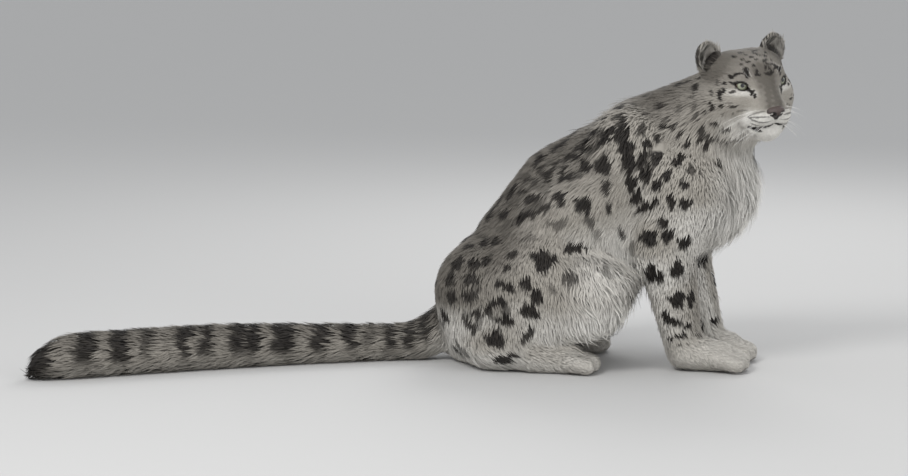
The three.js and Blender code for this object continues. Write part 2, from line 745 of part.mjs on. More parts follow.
const group = new THREE.Group();
function place(name, made, look = COAT) {
  const mesh = new THREE.Mesh(geometryOf(made), new THREE.MeshStandardMaterial(look));
  mesh.name = name;
  group.add(mesh);
}

const aroundEars = grownCore("head").add(grownCore("neck"));
place("head", headWithFace());
place("nose_pad", largest(nose().subtract(nostril(-1)).subtract(nostril(1))), NOSE);
for (const [name, side] of Object.entries(SIDES)) {
  place(`eye_${name}`, eyeball(side), EYE);
  place(`ear_${name}`, largest(ear(side).subtract(aroundEars)));
}
for (const name of [...order.slice(1), "torso_rear"]) place(name, withLocks(name));

export default group;
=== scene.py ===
# %% [markdown]
# This lesson builds a snow leopard that sits on its haunches with its head turned towards us. The coat
# is the whole subject: a pale, thick fur with smoky rings and near-black spots. We grow it as many
# thousands of small solid tufts over a smooth skin, because solid tufts can be exported and seen from
# every side, where a hair system cannot.
# %% Open the frame
import json
import math

import bpy
import numpy as np
from mathutils import Matrix, Vector

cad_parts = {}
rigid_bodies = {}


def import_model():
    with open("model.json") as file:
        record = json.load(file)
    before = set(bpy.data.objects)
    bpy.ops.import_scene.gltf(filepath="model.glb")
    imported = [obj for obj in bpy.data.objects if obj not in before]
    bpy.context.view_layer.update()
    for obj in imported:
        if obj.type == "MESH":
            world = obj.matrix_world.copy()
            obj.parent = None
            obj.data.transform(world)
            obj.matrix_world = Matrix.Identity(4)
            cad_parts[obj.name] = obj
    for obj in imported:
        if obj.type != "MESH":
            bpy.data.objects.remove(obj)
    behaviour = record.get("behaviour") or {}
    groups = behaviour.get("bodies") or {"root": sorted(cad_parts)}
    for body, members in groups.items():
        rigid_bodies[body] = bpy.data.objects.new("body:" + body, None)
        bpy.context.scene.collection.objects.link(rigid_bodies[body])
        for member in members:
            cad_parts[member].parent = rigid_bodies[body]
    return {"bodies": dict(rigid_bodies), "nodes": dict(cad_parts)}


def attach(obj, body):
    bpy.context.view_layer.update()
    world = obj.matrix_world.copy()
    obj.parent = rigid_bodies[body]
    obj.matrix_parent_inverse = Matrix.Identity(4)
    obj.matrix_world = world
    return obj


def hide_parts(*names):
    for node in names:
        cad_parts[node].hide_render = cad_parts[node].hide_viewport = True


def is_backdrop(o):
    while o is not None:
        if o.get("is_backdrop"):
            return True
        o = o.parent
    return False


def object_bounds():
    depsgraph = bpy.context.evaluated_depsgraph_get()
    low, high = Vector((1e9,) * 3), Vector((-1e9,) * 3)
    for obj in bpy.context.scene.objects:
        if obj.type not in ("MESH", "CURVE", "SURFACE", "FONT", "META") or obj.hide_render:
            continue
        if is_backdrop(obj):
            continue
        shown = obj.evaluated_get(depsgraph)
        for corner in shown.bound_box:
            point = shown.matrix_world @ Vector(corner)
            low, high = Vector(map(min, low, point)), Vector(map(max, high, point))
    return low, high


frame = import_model()
cad_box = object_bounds()
BODY = next(iter(frame["bodies"]))
print("frame nodes:", len(frame["nodes"]), "box:", [[round(v, 3) for v in corner] for corner in cad_box])

# %% [markdown]
# Camera first, so that every later choice can be judged from the right place. The animal is seen from
# its right side, a little from in front and a little from above. Distances below are in metres and the
# camera is aimed along d, with r to the right and u up in the picture. One pixel of the picture stands
# for 2.2 mm on the animal, and a point of the floor under the chest fixes where the picture falls.
# %% Place the camera
PIXEL = 2.2e-3
FRAME_SIZE = (908, 476)
MIDDLE_X, MIDDLE_Y = FRAME_SIZE[0] / 2, FRAME_SIZE[1] / 2
FOOT_X, FOOT_Y = 600, 362
DISTANCE = 6.0
AZIMUTH = math.radians(8)
ELEVATION = math.radians(8)
d = np.array([-math.sin(AZIMUTH) * math.cos(ELEVATION), math.cos(AZIMUTH) * math.cos(ELEVATION),
              -math.sin(ELEVATION)])
r = np.array([math.cos(AZIMUTH), math.sin(AZIMUTH), 0.0])
u = np.cross(r, d)
chest_foot = np.array([0.25, 0.0, 0.0])
aim = chest_foot + r * (MIDDLE_X - FOOT_X) * PIXEL + u * (FOOT_Y - MIDDLE_Y) * PIXEL
eye_point = aim - d * DISTANCE

lens = bpy.data.cameras.new("camera")
lens.sensor_width = 36
lens.lens = lens.sensor_width / 2 / ((FRAME_SIZE[0] * PIXEL / 2) / DISTANCE)
camera = bpy.data.objects.new("camera", lens)
camera_turn = Matrix((r, u, -d)).transposed().to_quaternion()
camera.matrix_world = Matrix.LocRotScale(Vector(eye_point), camera_turn, None)
bpy.context.scene.collection.objects.link(camera)
bpy.context.scene.camera = camera
print("lens", round(lens.lens, 1), "mm")

# %% [markdown]
# The body is described by fields: functions that are negative inside the flesh and grow by about one for
# each millimetre outside it. Tapered limbs and lumps are blended with a soft minimum, much as clay
# pieces are pressed together and smoothed. A field is worked on many points at once with NumPy. Lengths
# from here on are millimetres until a mesh is made.
# %% Field helpers
def limb(start, end, start_radius, end_radius, wide=1.0):
    """A tapered rod with round ends; wide above 1 makes it broader from side to side."""
    a = np.array(start, float)
    axis = np.array(end, float) - a
    length2 = max(float(axis @ axis), 1e-6)

    def field(p):
        off = p - a
        t = np.clip(off @ axis / length2, 0, 1)
        radius = start_radius + (end_radius - start_radius) * t
        off = off - t[:, None] * axis
        near = np.sqrt(off[:, 0] ** 2 + (off[:, 1] / wide) ** 2 + off[:, 2] ** 2)
        slope = np.sqrt(off[:, 0] ** 2 + (off[:, 1] / wide ** 2) ** 2 + off[:, 2] ** 2)
        return np.where(slope < 1e-6, -radius, (near - radius) * near / np.maximum(slope, 1e-6))

    return field


def lump(centre, radii):
    """An egg with a radius of its own along x, y and z."""
    c = np.array(centre, float)
    size = np.array(radii, float)

    def field(p):
        off = (p - c) / size
        near = np.sqrt((off ** 2).sum(1))
        slope = np.sqrt(((off / size) ** 2).sum(1))
        return np.where(slope < 1e-9, -size.min(), near * (near - 1) / np.maximum(slope, 1e-9))

    return field


def soft_min(a, b, soft):
    """The smaller of two values, rounded off where they are within 'soft' of each other."""
    h = np.maximum(soft - np.abs(a - b), 0) / soft
    return np.minimum(a, b) - h * h * soft / 4


def blended(soft, fields, p):
    value = fields[0](p)
    for one in fields[1:]:
        value = soft_min(value, one(p), soft)
    return value


def step(value, low, high):
    """A smooth rise from 0 at low to 1 at high."""
    t = np.clip((value - low) / (high - low), 0, 1)
    return t * t * (3 - 2 * t)


def mix(a, b, t):
    return a + (b - a) * t


def unit(v):
    return v / np.maximum(np.linalg.norm(v, axis=-1, keepdims=True), 1e-9)


# %% [markdown]
# The head is turned far to the animal's right and tipped a little, so it is easier to shape in axes of
# its own: x to the nose, y to its left, z up. Two short functions carry points there and back.
# %% The head's own frame
def turn(axis, degrees):
    return np.array(Matrix.Rotation(math.radians(degrees), 3, axis))


HEAD_AT = np.array([557.0, -48.0, 618.0])
HEAD_YAW = -59.5
HEAD_PITCH = 6
HEAD_ROLL = 5.5
HEAD_TURN = turn("Z", HEAD_YAW) @ turn("Y", HEAD_PITCH) @ turn("X", HEAD_ROLL)
EYE_RADIUS = 16.5
EYE_AT = (70.0, 42.0, 18.0)
EYE_TURN = 24
EYE_SLANT = 16


def to_head(p):
    return (p - HEAD_AT) @ HEAD_TURN


def from_head(p):
    return np.asarray(p) @ HEAD_TURN.T + HEAD_AT


SIDES = (-1, 1)
print("nose at", from_head([150, 0, -30]).round(0))

# %% [markdown]
# The head is a braincase, a domed forehead, broad cheeks with their ruffs, and a short deep muzzle. Each
# is one lump or limb in the head's frame. The skull is blended widely and the face more tightly, so that
# brow and muzzle stay crisp.
# %% Head field
skull = [
    lump([-8, 0, 10], [84, 76, 64]),
    lump([44, 0, 14], [60, 58, 54]),
    limb([62, 0, -14], [108, 0, -34], 48, 32, 1.08),
]
face = [
    limb([76, 0, 16], [126, 0, -20], 28, 18, 1.08),
    lump([105, 0, -80], [27, 25, 18]),
    limb([40, 0, -78], [96, 0, -80], 34, 22, 1.1),
]
for s in SIDES:
    skull += [
        lump([32, 50 * s, -22], [52, 42, 46]),
        lump([-6, 68 * s, -42], [50, 42, 62]),
        lump([20, 40 * s, -80], [52, 38, 36]),
        lump([2, 44 * s, 46], [40, 34, 23]),
    ]
    face += [
        lump([72, 36 * s, 36], [20, 21, 13]),
        lump([116, 21 * s, -44], [28, 23, 20]),
        lump([92, 30 * s, -52], [30, 24, 22]),
        limb([122, 10 * s, -70], [98, 32 * s, -72], 9, 8),
    ]


def head_field(p):
    q = to_head(p)
    return soft_min(blended(34, skull, q), blended(14, face, q), 16)


print("head:", len(skull), "forms of the skull and", len(face), "of the face")

# %% [markdown]
# A sitting cat's back slopes steeply, so the trunk is a chain of barrels that climbs from the haunches to
# the shoulders. The neck, the legs and the feet are more limbs. Each foot has four toes, and the left
# forefoot stands a little ahead of the right one.
# %% Trunk, neck and legs
trunk = [
    limb([34, 0, 142], [94, 0, 245], 110, 111, 1.18),
    limb([94, 0, 245], [197, 0, 332], 111, 144, 0.96),
    limb([197, 0, 332], [312, 0, 383], 144, 152, 0.87),
    limb([312, 0, 385], [420, 0, 400], 152, 138, 0.88),
    limb([150, 0, 245], [262, 0, 245], 122, 100, 0.95),
    lump([455, 0, 385], [134, 118, 120]),
    limb([-44, 0, 36], [60, 0, 44], 40, 58, 1.6),
    limb([20, -62, 103], [60, -70, 103], 103, 98),
    limb([20, 62, 103], [60, 70, 103], 103, 98),
]
neck = [
    limb([375, 0, 486], [505, -22, 566], 114, 88, 0.96),
    limb([430, 0, 450], [518, -28, 540], 118, 86, 0.93),
]


def foreleg(s):
    forward = 40 if s > 0 else 0
    shoulder = [440, 84 * s, 392]
    elbow = [392 + forward / 2, 80 * s, 275]
    wrist = [430 + forward, 62 * s, 84]
    blade = [318, 66 * s, 492]
    return [limb(blade, shoulder, 78, 84), limb(shoulder, elbow, 84, 72), limb(elbow, wrist, 66, 45)]


def paw(heel, reach, height, spread):
    made = [limb([heel[0], heel[1], height * 0.7], [heel[0] + reach * 0.55, heel[1], height * 0.5],
                 height * 0.72, height * 0.6, 1.15)]
    for k in (-1.5, -0.5, 0.5, 1.5):
        lead = reach - 9 * abs(abs(k) - 0.5)
        back = [heel[0] + reach * 0.45, heel[1] + k * spread * 0.7, height * 0.55]
        made.append(limb(back, [heel[0] + lead - 22, heel[1] + k * spread, 20], height * 0.42, 20))
    return made


def hindleg(s):
    hip = [12, 76 * s, 165]
    knee = [238, 112 * s, 182]
    hock = [28, 122 * s, 62]
    return [limb(hip, knee, 118, 84), limb([120, 96 * s, 215], [225, 108 * s, 150], 96, 84),
            limb(knee, hock, 80, 54), limb(hock, [150, 128 * s, 42], 50, 40)]


forelegs = [foreleg(s) for s in SIDES]
hindlegs = [hindleg(s) for s in SIDES]
forepaws = [paw([440, -63], 142, 58, 25), paw([452, 63], 142, 58, 25)]
hindpaws = [paw([118, -130], 146, 54, 22), paw([118, 130], 146, 54, 22)]
print("trunk and neck:", len(trunk) + len(neck), "forms, and", len(forepaws[0]), "in each foot")

# %% [markdown]
# A snow leopard's tail is nearly as long as its body, and almost as thick at its end as at its root. It
# lies along the floor and swings out to the animal's right. Its place and its thickness are functions of
# t, which runs from 0 at the root to 1 at the tip, and a row of short limbs follows them.
# %% The tail
TAIL_ROOT = np.array([-80.0, 0.0, 84.0])


def tail_radius(t):
    body = mix(42, 50, step(t, 0.12, 0.65))
    tip = np.clip((1 - t) / 0.11, 0, 1)
    full = np.maximum(body * np.sqrt(tip * (2 - tip)), 9)
    return np.where(t < 0.12, mix(52, 42, t / 0.12), full)


def tail_point(t):
    t = np.asarray(t, float)
    rest = tail_radius(t) - 4
    lift = np.clip(1 - t / 0.1, 0, 1) ** 2
    return np.stack([TAIL_ROOT[0] - 849 * t, -380 * t ** 1.35, rest + lift * (TAIL_ROOT[2] - rest)], -1)


tail_steps = np.linspace(0, 1, 27)
tail = [limb(tail_point(a), tail_point(b), float(tail_radius(a)), float(tail_radius(b)))
        for a, b in zip(tail_steps[:-1], tail_steps[1:])]
print("tail tip at", tail_point(1.0).round(0))

# %% [markdown]
# Each part of the body is a group with a field of its own. The groups are blended into one flesh, and
# the distance to each of them tells later how much a point belongs to it. The last number of each blend
# is its width in millimetres.
# %% All of the flesh
GROUPS = ["head", "neck", "trunk", "tail", "foreleg", "forepaw", "hindleg", "hindpaw"]
HEAD, NECK, TRUNK, TAIL, FORELEG, FOREPAW, HINDLEG, HINDPAW = range(len(GROUPS))
PAIRS = ((FORELEG, 34, forelegs), (FOREPAW, 6, forepaws), (HINDLEG, 40, hindlegs), (HINDPAW, 6, hindpaws))


def group_fields(p):
    """One column for each group, sides together: how far each point is from each part of the body."""
    out = np.empty((len(p), len(GROUPS)))
    out[:, HEAD] = head_field(p)
    out[:, NECK] = blended(50, neck, p)
    out[:, TRUNK] = blended(60, trunk, p)
    out[:, TAIL] = blended(10, tail, p)
    for column, soft, pair in PAIRS:
        out[:, column] = np.minimum(blended(soft, pair[0], p), blended(soft, pair[1], p))
    return out


def flesh(g):
    """One field from the columns of group_fields."""
    value = soft_min(g[:, TRUNK], g[:, NECK], 50)
    value = soft_min(value, g[:, HEAD], 26)
    value = soft_min(value, g[:, TAIL], 34)
    value = soft_min(value, soft_min(g[:, FORELEG], g[:, FOREPAW], 22), 30)
    return soft_min(value, soft_min(g[:, HINDLEG], g[:, HINDPAW], 22), 34)


def shares(g):
    """How much each group counts at each point, adding up to one."""
    near = np.exp(-(g - g.min(1, keepdims=True)) / 16)
    return near / near.sum(1, keepdims=True)


print("groups:", ", ".join(GROUPS))

# %% [markdown]
# A coat has depth. The skin lies below the outer surface by the depth of the fur, which is almost nothing
# on the nose and a finger's width on the chest. So the same function that sets the length of the hairs
# also sinks the skin, by about a third of that length (STAND): hairs lie over each other, so the coat is
# only that thick.
# %% Coat length
LENGTHS = np.array([13.0, 34, 30, 40, 19, 10, 26, 10])
STAND = 0.34


def hair_length(p, w):
    q = to_head(p)
    from_nose = np.linalg.norm(q - np.array([140, 0, -40]), axis=1)
    on_face = mix(3.5, 10.0, step(from_nose, 25, 120))
    on_face = mix(on_face, 26.0, step(from_nose, 120, 175) * step(-q[:, 2], -10, 60))
    lengths = w[:, 1:] @ LENGTHS[1:] + w[:, HEAD] * on_face
    chest = step(p[:, 0], 470, 560) * step(-p[:, 2], -560, -480) * step(p[:, 2], 250, 300)
    belly = step(-p[:, 2], -330, -210) * step(p[:, 0], 120, 200) * (w[:, TRUNK] + 0.5 * w[:, HINDLEG])
    return lengths + (w[:, NECK] + w[:, TRUNK]) * 16 * chest + 14 * belly


def skin_field(p):
    g = group_fields(p)
    return flesh(g) + hair_length(p, shares(g)) * STAND


probe = np.array([[590.0, 0, 380], [312, 0, 535], [-600, -240, 50]])
print("hair lengths at chest, back and tail:", hair_length(probe, shares(group_fields(probe))).round(1), "mm")

# %% [markdown]
# The small forms of the face are cut into the same field: a ball of lid round each eye, opened by an
# almond along the gaze, the groove of the mouth and the cups of the ears. Cutting a field is taking the
# larger of two values, one of them turned inside out.
# %% Eyes, ears and mouth in the field
def eye_frame(s):
    """Axes of one eye as rows: x across, y up, z along the gaze, all in the head's frame."""
    return turn("Z", s * EYE_TURN) @ np.array([[0, 0, 1], [1, 0, 0], [0, 1, 0.0]]) @ turn("Z", s * EYE_SLANT)


def in_eye(q, s):
    return (q - np.array([EYE_AT[0], s * EYE_AT[1], EYE_AT[2]])) @ eye_frame(s)


OPENING = (16.2, 7.8, 6.6)


def almond(e):
    """Below zero between the lids: the upper lid arches more than the lower one."""
    half, upper, lower = OPENING
    across = np.clip(np.abs(e[:, 0]) / half, 0, 1.6)
    arch = 1 - across ** 2
    return np.where(e[:, 1] > 0, e[:, 1] - upper * arch, -e[:, 1] - lower * arch)


def ear_frame(q, s):
    lean = turn("X", -s * 17)
    return (q - np.array([-12, 75 * s, 62])) @ lean


ear_back = lump([0, 0, 0], [19, 30, 40])
ear_cup = lump([15, 0, 3], [22, 25, 36])
MOUTH = np.array([[94.0, 42, -64], [112, 34, -66], [130, 18, -63], [138, 0, -58]])
MOUTH = np.vstack([MOUTH, MOUTH[-2::-1] * [1, -1, 1]])


def to_line(q, points):
    """Distance to a line through the points, ignoring how far out of the face a point is."""
    best = np.full(len(q), 1e3)
    for a, b in zip(points[:-1], points[1:]):
        axis = b - a
        t = np.clip((q - a) @ axis / (axis @ axis), 0, 1)
        off = q - a - t[:, None] * axis
        best = np.minimum(best, np.sqrt((0.35 * off[:, 0]) ** 2 + off[:, 1] ** 2 * 0.6 + off[:, 2] ** 2))
    return best


def face_skin(p):
    """The skin's field with lids, ears, lips, the split of the upper lip and the creases of the brow."""
    q = to_head(p)
    value = skin_field(p)
    for s in SIDES:
        e = in_eye(q, s)
        ball = np.linalg.norm(e, axis=1)
        near = ball < 60
        value = np.where(near, soft_min(value, ball - EYE_RADIUS - 2.6, 7), value)
        cut = np.where(e[:, 2] > 0, almond(e), 20)
        rounded = -soft_min(-value, cut, 2.0)
        value = np.where(near & (e[:, 2] > 0), rounded, value)
        value = np.where(near, np.maximum(value, EYE_RADIUS + 0.4 - ball), value)
        ear = ear_frame(q, s)
        shell = np.maximum(ear_back(ear) + 2.5, -(ear_cup(ear) - 0.5))
        value = np.where(ear[:, 2] > -60, soft_min(value, shell, 10), value)
    lips = to_line(q, MOUTH)
    value = value + 4.5 * np.exp(-(lips / 2.4) ** 2)
    split = np.hypot(q[:, 1], np.maximum(np.abs(q[:, 2] + 50) - 8, 0))
    value = value + 3.0 * np.exp(-(split / 2.0) ** 2) * (q[:, 0] > 120)
    brow = np.zeros(len(q))
    for s in SIDES:
        crease = np.array([[92.0, 26 * s, 30], [84, 44 * s, 38], [66, 60 * s, 32]])
        brow += np.exp(-(to_line(q, crease) / 3.0) ** 2)
    return value + 1.2 * brow


lid_height = round(OPENING[1] + OPENING[2], 1)
print("lids open", 2 * OPENING[0], "by", lid_height, "mm over balls of", 2 * EYE_RADIUS, "mm")

# %% [markdown]
# To turn a field into a mesh we use surface nets: wherever the surface crosses a small cell, one vertex is
# put at the middle of the crossings, and neighbouring vertices are joined as quads. Only cells near the
# surface are worked out finely, which keeps this to seconds. A last push along the slope seats every
# vertex exactly on the surface.
# %% Surface nets
def slope_of(field, p, h=0.6):
    """How fast a field rises along x, y and z."""
    out = np.empty_like(p)
    for i in range(3):
        shift = np.zeros(3)
        shift[i] = h
        out[:, i] = (field(p + shift) - field(p - shift)) / (2 * h)
    return out


def grid_values(field, low, counts, cell):
    """The field on a grid, worked out in full only in those blocks of 4 cells that are near the surface."""
    blocks = (counts - 1) // 4
    index = np.stack(np.meshgrid(*[np.arange(b) for b in blocks], indexing="ij"), -1).reshape(-1, 3)
    rough = field(low + (index * 4 + 2) * cell)
    values = np.repeat(np.repeat(np.repeat(rough.reshape(blocks), 4, 0), 4, 1), 4, 2)
    values = np.pad(values, [(0, 1)] * 3, mode="edge")
    close = index[np.abs(rough) < 4 * cell * 1.15 + 3]
    offsets = np.stack(np.meshgrid(*[np.arange(5)] * 3, indexing="ij"), -1).reshape(-1, 3)
    points = (close[:, None] * 4 + offsets[None]).reshape(-1, 3)
    flat = np.unique(np.ravel_multi_index(points.T, counts))
    where = np.stack(np.unravel_index(flat, counts), -1)
    values.reshape(-1)[flat] = field(low + where * cell)
    return values


def net(field, low, high, cell):
    """Points and quads of the surface where a field is zero, between two corners of a box."""
    low = np.array(low, float)
    counts = np.ceil((np.array(high) - low) / cell / 4).astype(int) * 4 + 1
    values = grid_values(field, low, counts, cell)
    inside = values < 0
    corner = np.array([[c & 1, (c >> 1) & 1, c >> 2] for c in range(8)])
    n = counts - 1
    total = sum(inside[c[0]:c[0] + n[0], c[1]:c[1] + n[1], c[2]:c[2] + n[2]].astype(np.int8) for c in corner)
    active = np.argwhere((total > 0) & (total < 8))
    around = np.stack([values[tuple((active + c).T)] for c in corner], 1)
    sums = np.zeros((len(active), 3))
    crossed = np.zeros(len(active))
    for a in range(8):
        for bit in (1, 2, 4):
            if a & bit:
                continue
            va, vb = around[:, a], around[:, a | bit]
            hit = (va < 0) != (vb < 0)
            t = np.where(hit, va / np.where(hit, va - vb, 1), 0)
            sums += np.where(hit[:, None], corner[a] + t[:, None] * (corner[a | bit] - corner[a]), 0)
            crossed += hit
    points = low + (active + sums / crossed[:, None]) * cell
    number = np.full(n, -1, np.int64)
    number[tuple(active.T)] = np.arange(len(active))
    quads = []
    for axis in range(3):
        one = np.eye(3, dtype=int)
        v, w = one[(axis + 1) % 3], one[(axis + 2) % 3]
        a = inside[tuple(slice(0, c - (1 if i == axis else 0)) for i, c in enumerate(counts))]
        b = inside[tuple(slice(1 if i == axis else 0, c) for i, c in enumerate(counts))]
        edge = np.argwhere(a != b)
        edge = edge[(edge > 0).all(1) & (edge < n).all(1)]
        out_first = inside[tuple(edge.T)]
        ring = [number[tuple((edge - x).T)] for x in (0 * v, v, v + w, w)]
        quad = np.stack(ring, 1)
        quad[~out_first] = quad[~out_first][:, ::-1]
        quads.append(quad)
    for _ in range(2):
        g = slope_of(field, points)
        push = field(points)[:, None] * g / np.maximum((g ** 2).sum(1, keepdims=True), 0.2)
        points = points - np.clip(push, -cell * 0.4, cell * 0.4)
    return points, np.concatenate(quads)


# %% [markdown]
# Blender takes a whole mesh at once when it is given plain arrays, which is far quicker than adding faces
# one by one. Millimetres become metres on the way. Numbers for the materials are stored on the vertices.
# %% Meshes from arrays
def make_mesh(name, points_mm, faces, tris=None):
    """A mesh object from points in millimetres, with quads and, if given, triangles."""
    mesh = bpy.data.meshes.new(name)
    points = np.ascontiguousarray(points_mm * 0.001, np.float32)
    tris = np.empty((0, 3), int) if tris is None else tris
    mesh.vertices.add(len(points))
    mesh.vertices.foreach_set("co", points.ravel())
    loops = np.concatenate([faces.ravel(), tris.ravel()]).astype(np.int32)
    mesh.loops.add(len(loops))
    mesh.loops.foreach_set("vertex_index", loops)
    sizes = np.concatenate([np.full(len(faces), 4), np.full(len(tris), 3)])
    starts = np.concatenate([[0], np.cumsum(sizes)[:-1]]).astype(np.int32)
    mesh.polygons.add(len(sizes))
    mesh.polygons.foreach_set("loop_start", starts)
    mesh.update(calc_edges=True)
    mesh.shade_smooth()
    thing = bpy.data.objects.new(name, mesh)
    bpy.context.scene.collection.objects.link(thing)
    return thing


def put_number(thing, name, values):
    """One number for each vertex, for the materials to read."""
    layer = thing.data.attributes.new(name, "FLOAT", "POINT")
    layer.data.foreach_set("value", np.ascontiguousarray(values, np.float32))


# %% [markdown]
# The skin is drawn as two nets that overlap under the fur of the neck: the head on a fine grid, because
# lids and lips are small, and the body on a coarser one. Both become one mesh, so that the whole animal
# is one skin.
# %% Skin
SEAM_BACK = unit(np.array([-0.754, 0.657, 0.1]))
SEAM_AT = np.array([497.0, -32, 600]) + 26 * SEAM_BACK
THROAT_AT = from_head([20, 0, -121])
THROAT_DOWN = unit(HEAD_TURN @ np.array([0.2, 0, -0.98]))
SKIN_FLOOR = 1.2


def outside_head(p):
    """How far a point lies behind the seam or below the throat."""
    return np.maximum((p - SEAM_AT) @ SEAM_BACK, (p - THROAT_AT) @ THROAT_DOWN)


def body_part(p):
    return np.maximum(skin_field(p), -outside_head(p) - 26)


def head_part(p):
    return np.maximum(face_skin(p), outside_head(p) - 8)


def floored(field):
    return lambda p: np.maximum(field(p), SKIN_FLOOR - p[:, 2])


body_points, body_quads = net(floored(body_part), [-1000, -460, -12], [640, 240, 730], 5.5)
head_points, head_quads = net(head_part, [400, -250, 450], [740, 140, 770], 2.3)
skin_points = np.vstack([body_points, head_points])
skin_quads = np.vstack([body_quads, head_quads + len(body_points)])
skin = make_mesh("skin", skin_points, skin_quads)
print("skin:", len(skin_points), "vertices,", len(skin_quads), "quads")

# %% [markdown]
# The coat needs to know, all over the skin, which way it lies, how long it is and which part of the body
# it belongs to. We work these out once at the skin's own vertices. Fur runs back from the nose over the
# head, down the neck and legs, down and back along the trunk, forward over the feet, and to the tip of
# the tail.
# %% Normals and shares of the skin
def vertex_normals(points, quads):
    across = np.cross(points[quads[:, 2]] - points[quads[:, 0]], points[quads[:, 3]] - points[quads[:, 1]])
    normals = np.zeros_like(points)
    for k in range(4):
        for axis in range(3):
            normals[:, axis] += np.bincount(quads[:, k], across[:, axis], len(points))
    return unit(normals)


normals = vertex_normals(skin_points, skin_quads)
groups = group_fields(skin_points)
weights = shares(groups)
in_face = to_head(skin_points)
is_head = np.arange(len(skin_points)) >= len(body_points)
print("normals point out:", float((normals[:, 2][skin_points[:, 2] > 600]).mean()) > 0)


# %% [markdown]
# The lie is one direction at each point. Each part of the body has its own, and the shares blend them, so
# that no seam shows where two parts meet. Round the ears the fur is turned to stand up along them.
# %% The lie of the coat
def tail_lie(p):
    ts = np.linspace(0, 1, 60)
    line = tail_point(ts)
    nearest = np.abs(p[:, None, 0] - line[None, :, 0]).argmin(1)
    ahead = tail_point(np.minimum(ts[nearest] + 0.02, 1.02)) - line[nearest]
    return unit(ahead * [1, 1, 0.3])


def normal_up(p):
    """How far a neck point faces up, from its height over the neck's middle line."""
    middle = 486 + (p[:, 0] - 375) * 0.6
    return np.clip((p[:, 2] - middle) / 80, -1, 1)


def coat_lie(p, w):
    """The way the fur lies at each point, before it is laid flat on the skin."""
    q = to_head(p)
    side = np.sign(p[:, 1:2])
    away = unit(q - np.array([152, 0, -24])) + np.array([-0.25, 0, 0])
    away = away + np.array([0, 0, -0.5]) * step(-q[:, 2:3], 0, 60)
    head = unit(away @ HEAD_TURN.T)
    down = np.array([0.05, 0, -1.0])
    neck_lie = unit(mix(np.array([-0.85, 0, -0.5]), down, step(-normal_up(p), -0.5, 0.6)[:, None]))
    front = step(p[:, 0:1], 400, 520)
    low = step(-p[:, 2:3], -340, -220) * step(p[:, 0:1], 120, 220)
    trunk_lie = mix(np.array([-0.62, 0, -0.78]), down, front)
    trunk_lie = unit(mix(trunk_lie, np.array([0.42, 0, -0.9]), low * (1 - front)))
    thigh = mix(np.array([0.28, 0, -0.95]), np.array([1.0, 0, -0.25]), step(-p[:, 2:3], -110, -50))
    leg = np.array([-0.05, 0, -1.0]) + np.zeros_like(p)
    forward = np.array([1.0, 0, -0.35]) + np.array([0, 0.1, 0]) * side
    share = w.T[:, :, None]
    total = share[HEAD] * head + share[NECK] * neck_lie + share[TRUNK] * trunk_lie + share[TAIL] * tail_lie(p)
    total = total + share[FORELEG] * leg + share[FOREPAW] * forward
    return unit(total + share[HINDLEG] * thigh + share[HINDPAW] * forward)


def wave(p, period, seed):
    """Smooth pseudo-random values between -1 and 1, with bumps about a period apart."""
    draws = np.random.default_rng(seed)
    total = 0
    for _ in range(4):
        way = unit(draws.normal(size=3))
        faster = draws.uniform(0.7, 1.4)
        total = total + np.sin(p @ way * (2 * math.pi / period) * faster + draws.uniform(0, 7))
    return np.clip(total / 2.2, -1, 1)


soft_weights = np.exp(-(groups - groups.min(1, keepdims=True)) / 42)
soft_weights = soft_weights / soft_weights.sum(1, keepdims=True)
lie = coat_lie(skin_points, soft_weights)
for s in SIDES:
    ear = ear_frame(in_face, s)
    on_ear = is_head * step(-ear_back(ear), -7, 1) * step(ear[:, 2], -14, 6)
    up = (np.array([0.0, 0.15 * s, 1.0]) @ turn("X", s * 17).T) @ HEAD_TURN.T
    lie = mix(lie, up, on_ear[:, None])
lie = unit(lie - (lie * normals).sum(1, keepdims=True) * normals)
length = hair_length(skin_points, weights)
print("hair from", length.min().round(1), "to", length.max().round(1), "mm")

# %% [markdown]
# The bare places are found with the same functions that cut them: inside the lids, in the mouth's groove
# and under the nose leather. The dark liner round the lids, drawn wider on the upper lid as painted shade
# under the brow, the cups of the ears with their thin long hair and the backs of the ears are marked in
# the same way, for the pattern to use.
# %% Bare places and special lengths
bare = np.zeros(len(skin_points))
cup = np.zeros(len(skin_points))
ear_out = np.zeros(len(skin_points))
liner_and_brow_shade = np.zeros(len(skin_points))
for s in SIDES:
    e = in_eye(in_face, s)
    ball = np.linalg.norm(e, axis=1)
    rim = almond(e)
    by_eye = is_head & (ball < 46) & (e[:, 2] > -2)
    bare = np.maximum(bare, by_eye * step(-rim, -2.0, -0.6))
    bare = np.maximum(bare, by_eye * (ball < EYE_RADIUS + 1.2))
    corner = np.hypot((e[:, 0] * s + 17.5) / 7.5, (e[:, 1] + 2.5) / 3.0)
    # The lid line is real dark skin; on the upper lid it is drawn wider to paint the shade under the brow.
    wide = mix(1.9, 4.4, step(e[:, 1], -2, 2))
    outer = np.hypot((e[:, 0] * s - 18.5) / 6.5, (e[:, 1] - 0.5) / 2.4)
    corner = np.minimum(corner, outer)
    lid_edge_and_brow_shade = np.maximum(step(-rim, -wide - 1.2, -wide + 0.6), step(-corner, -1.2, -0.8))
    liner_and_brow_shade = np.maximum(liner_and_brow_shade, by_eye * lid_edge_and_brow_shade)
    ear = ear_frame(in_face, s)
    near_ear = is_head * step(ear[:, 2], -22, -6) * step(-ear_back(ear), -9, -3)
    inside_cup = step(-ear_cup(ear), -3.0, 0.5) * step(ear[:, 0], -16, -4)
    cup = np.maximum(cup, near_ear * inside_cup)
    ear_out = np.maximum(ear_out, near_ear * (1 - inside_cup))
lips = to_line(in_face, MOUTH)
in_lips = is_head * (in_face[:, 0] > 88) * step(-lips, -3.0, -1.6)
nose_off = (in_face - np.array([139, 0, -30])) / np.array([14, 21, 13])
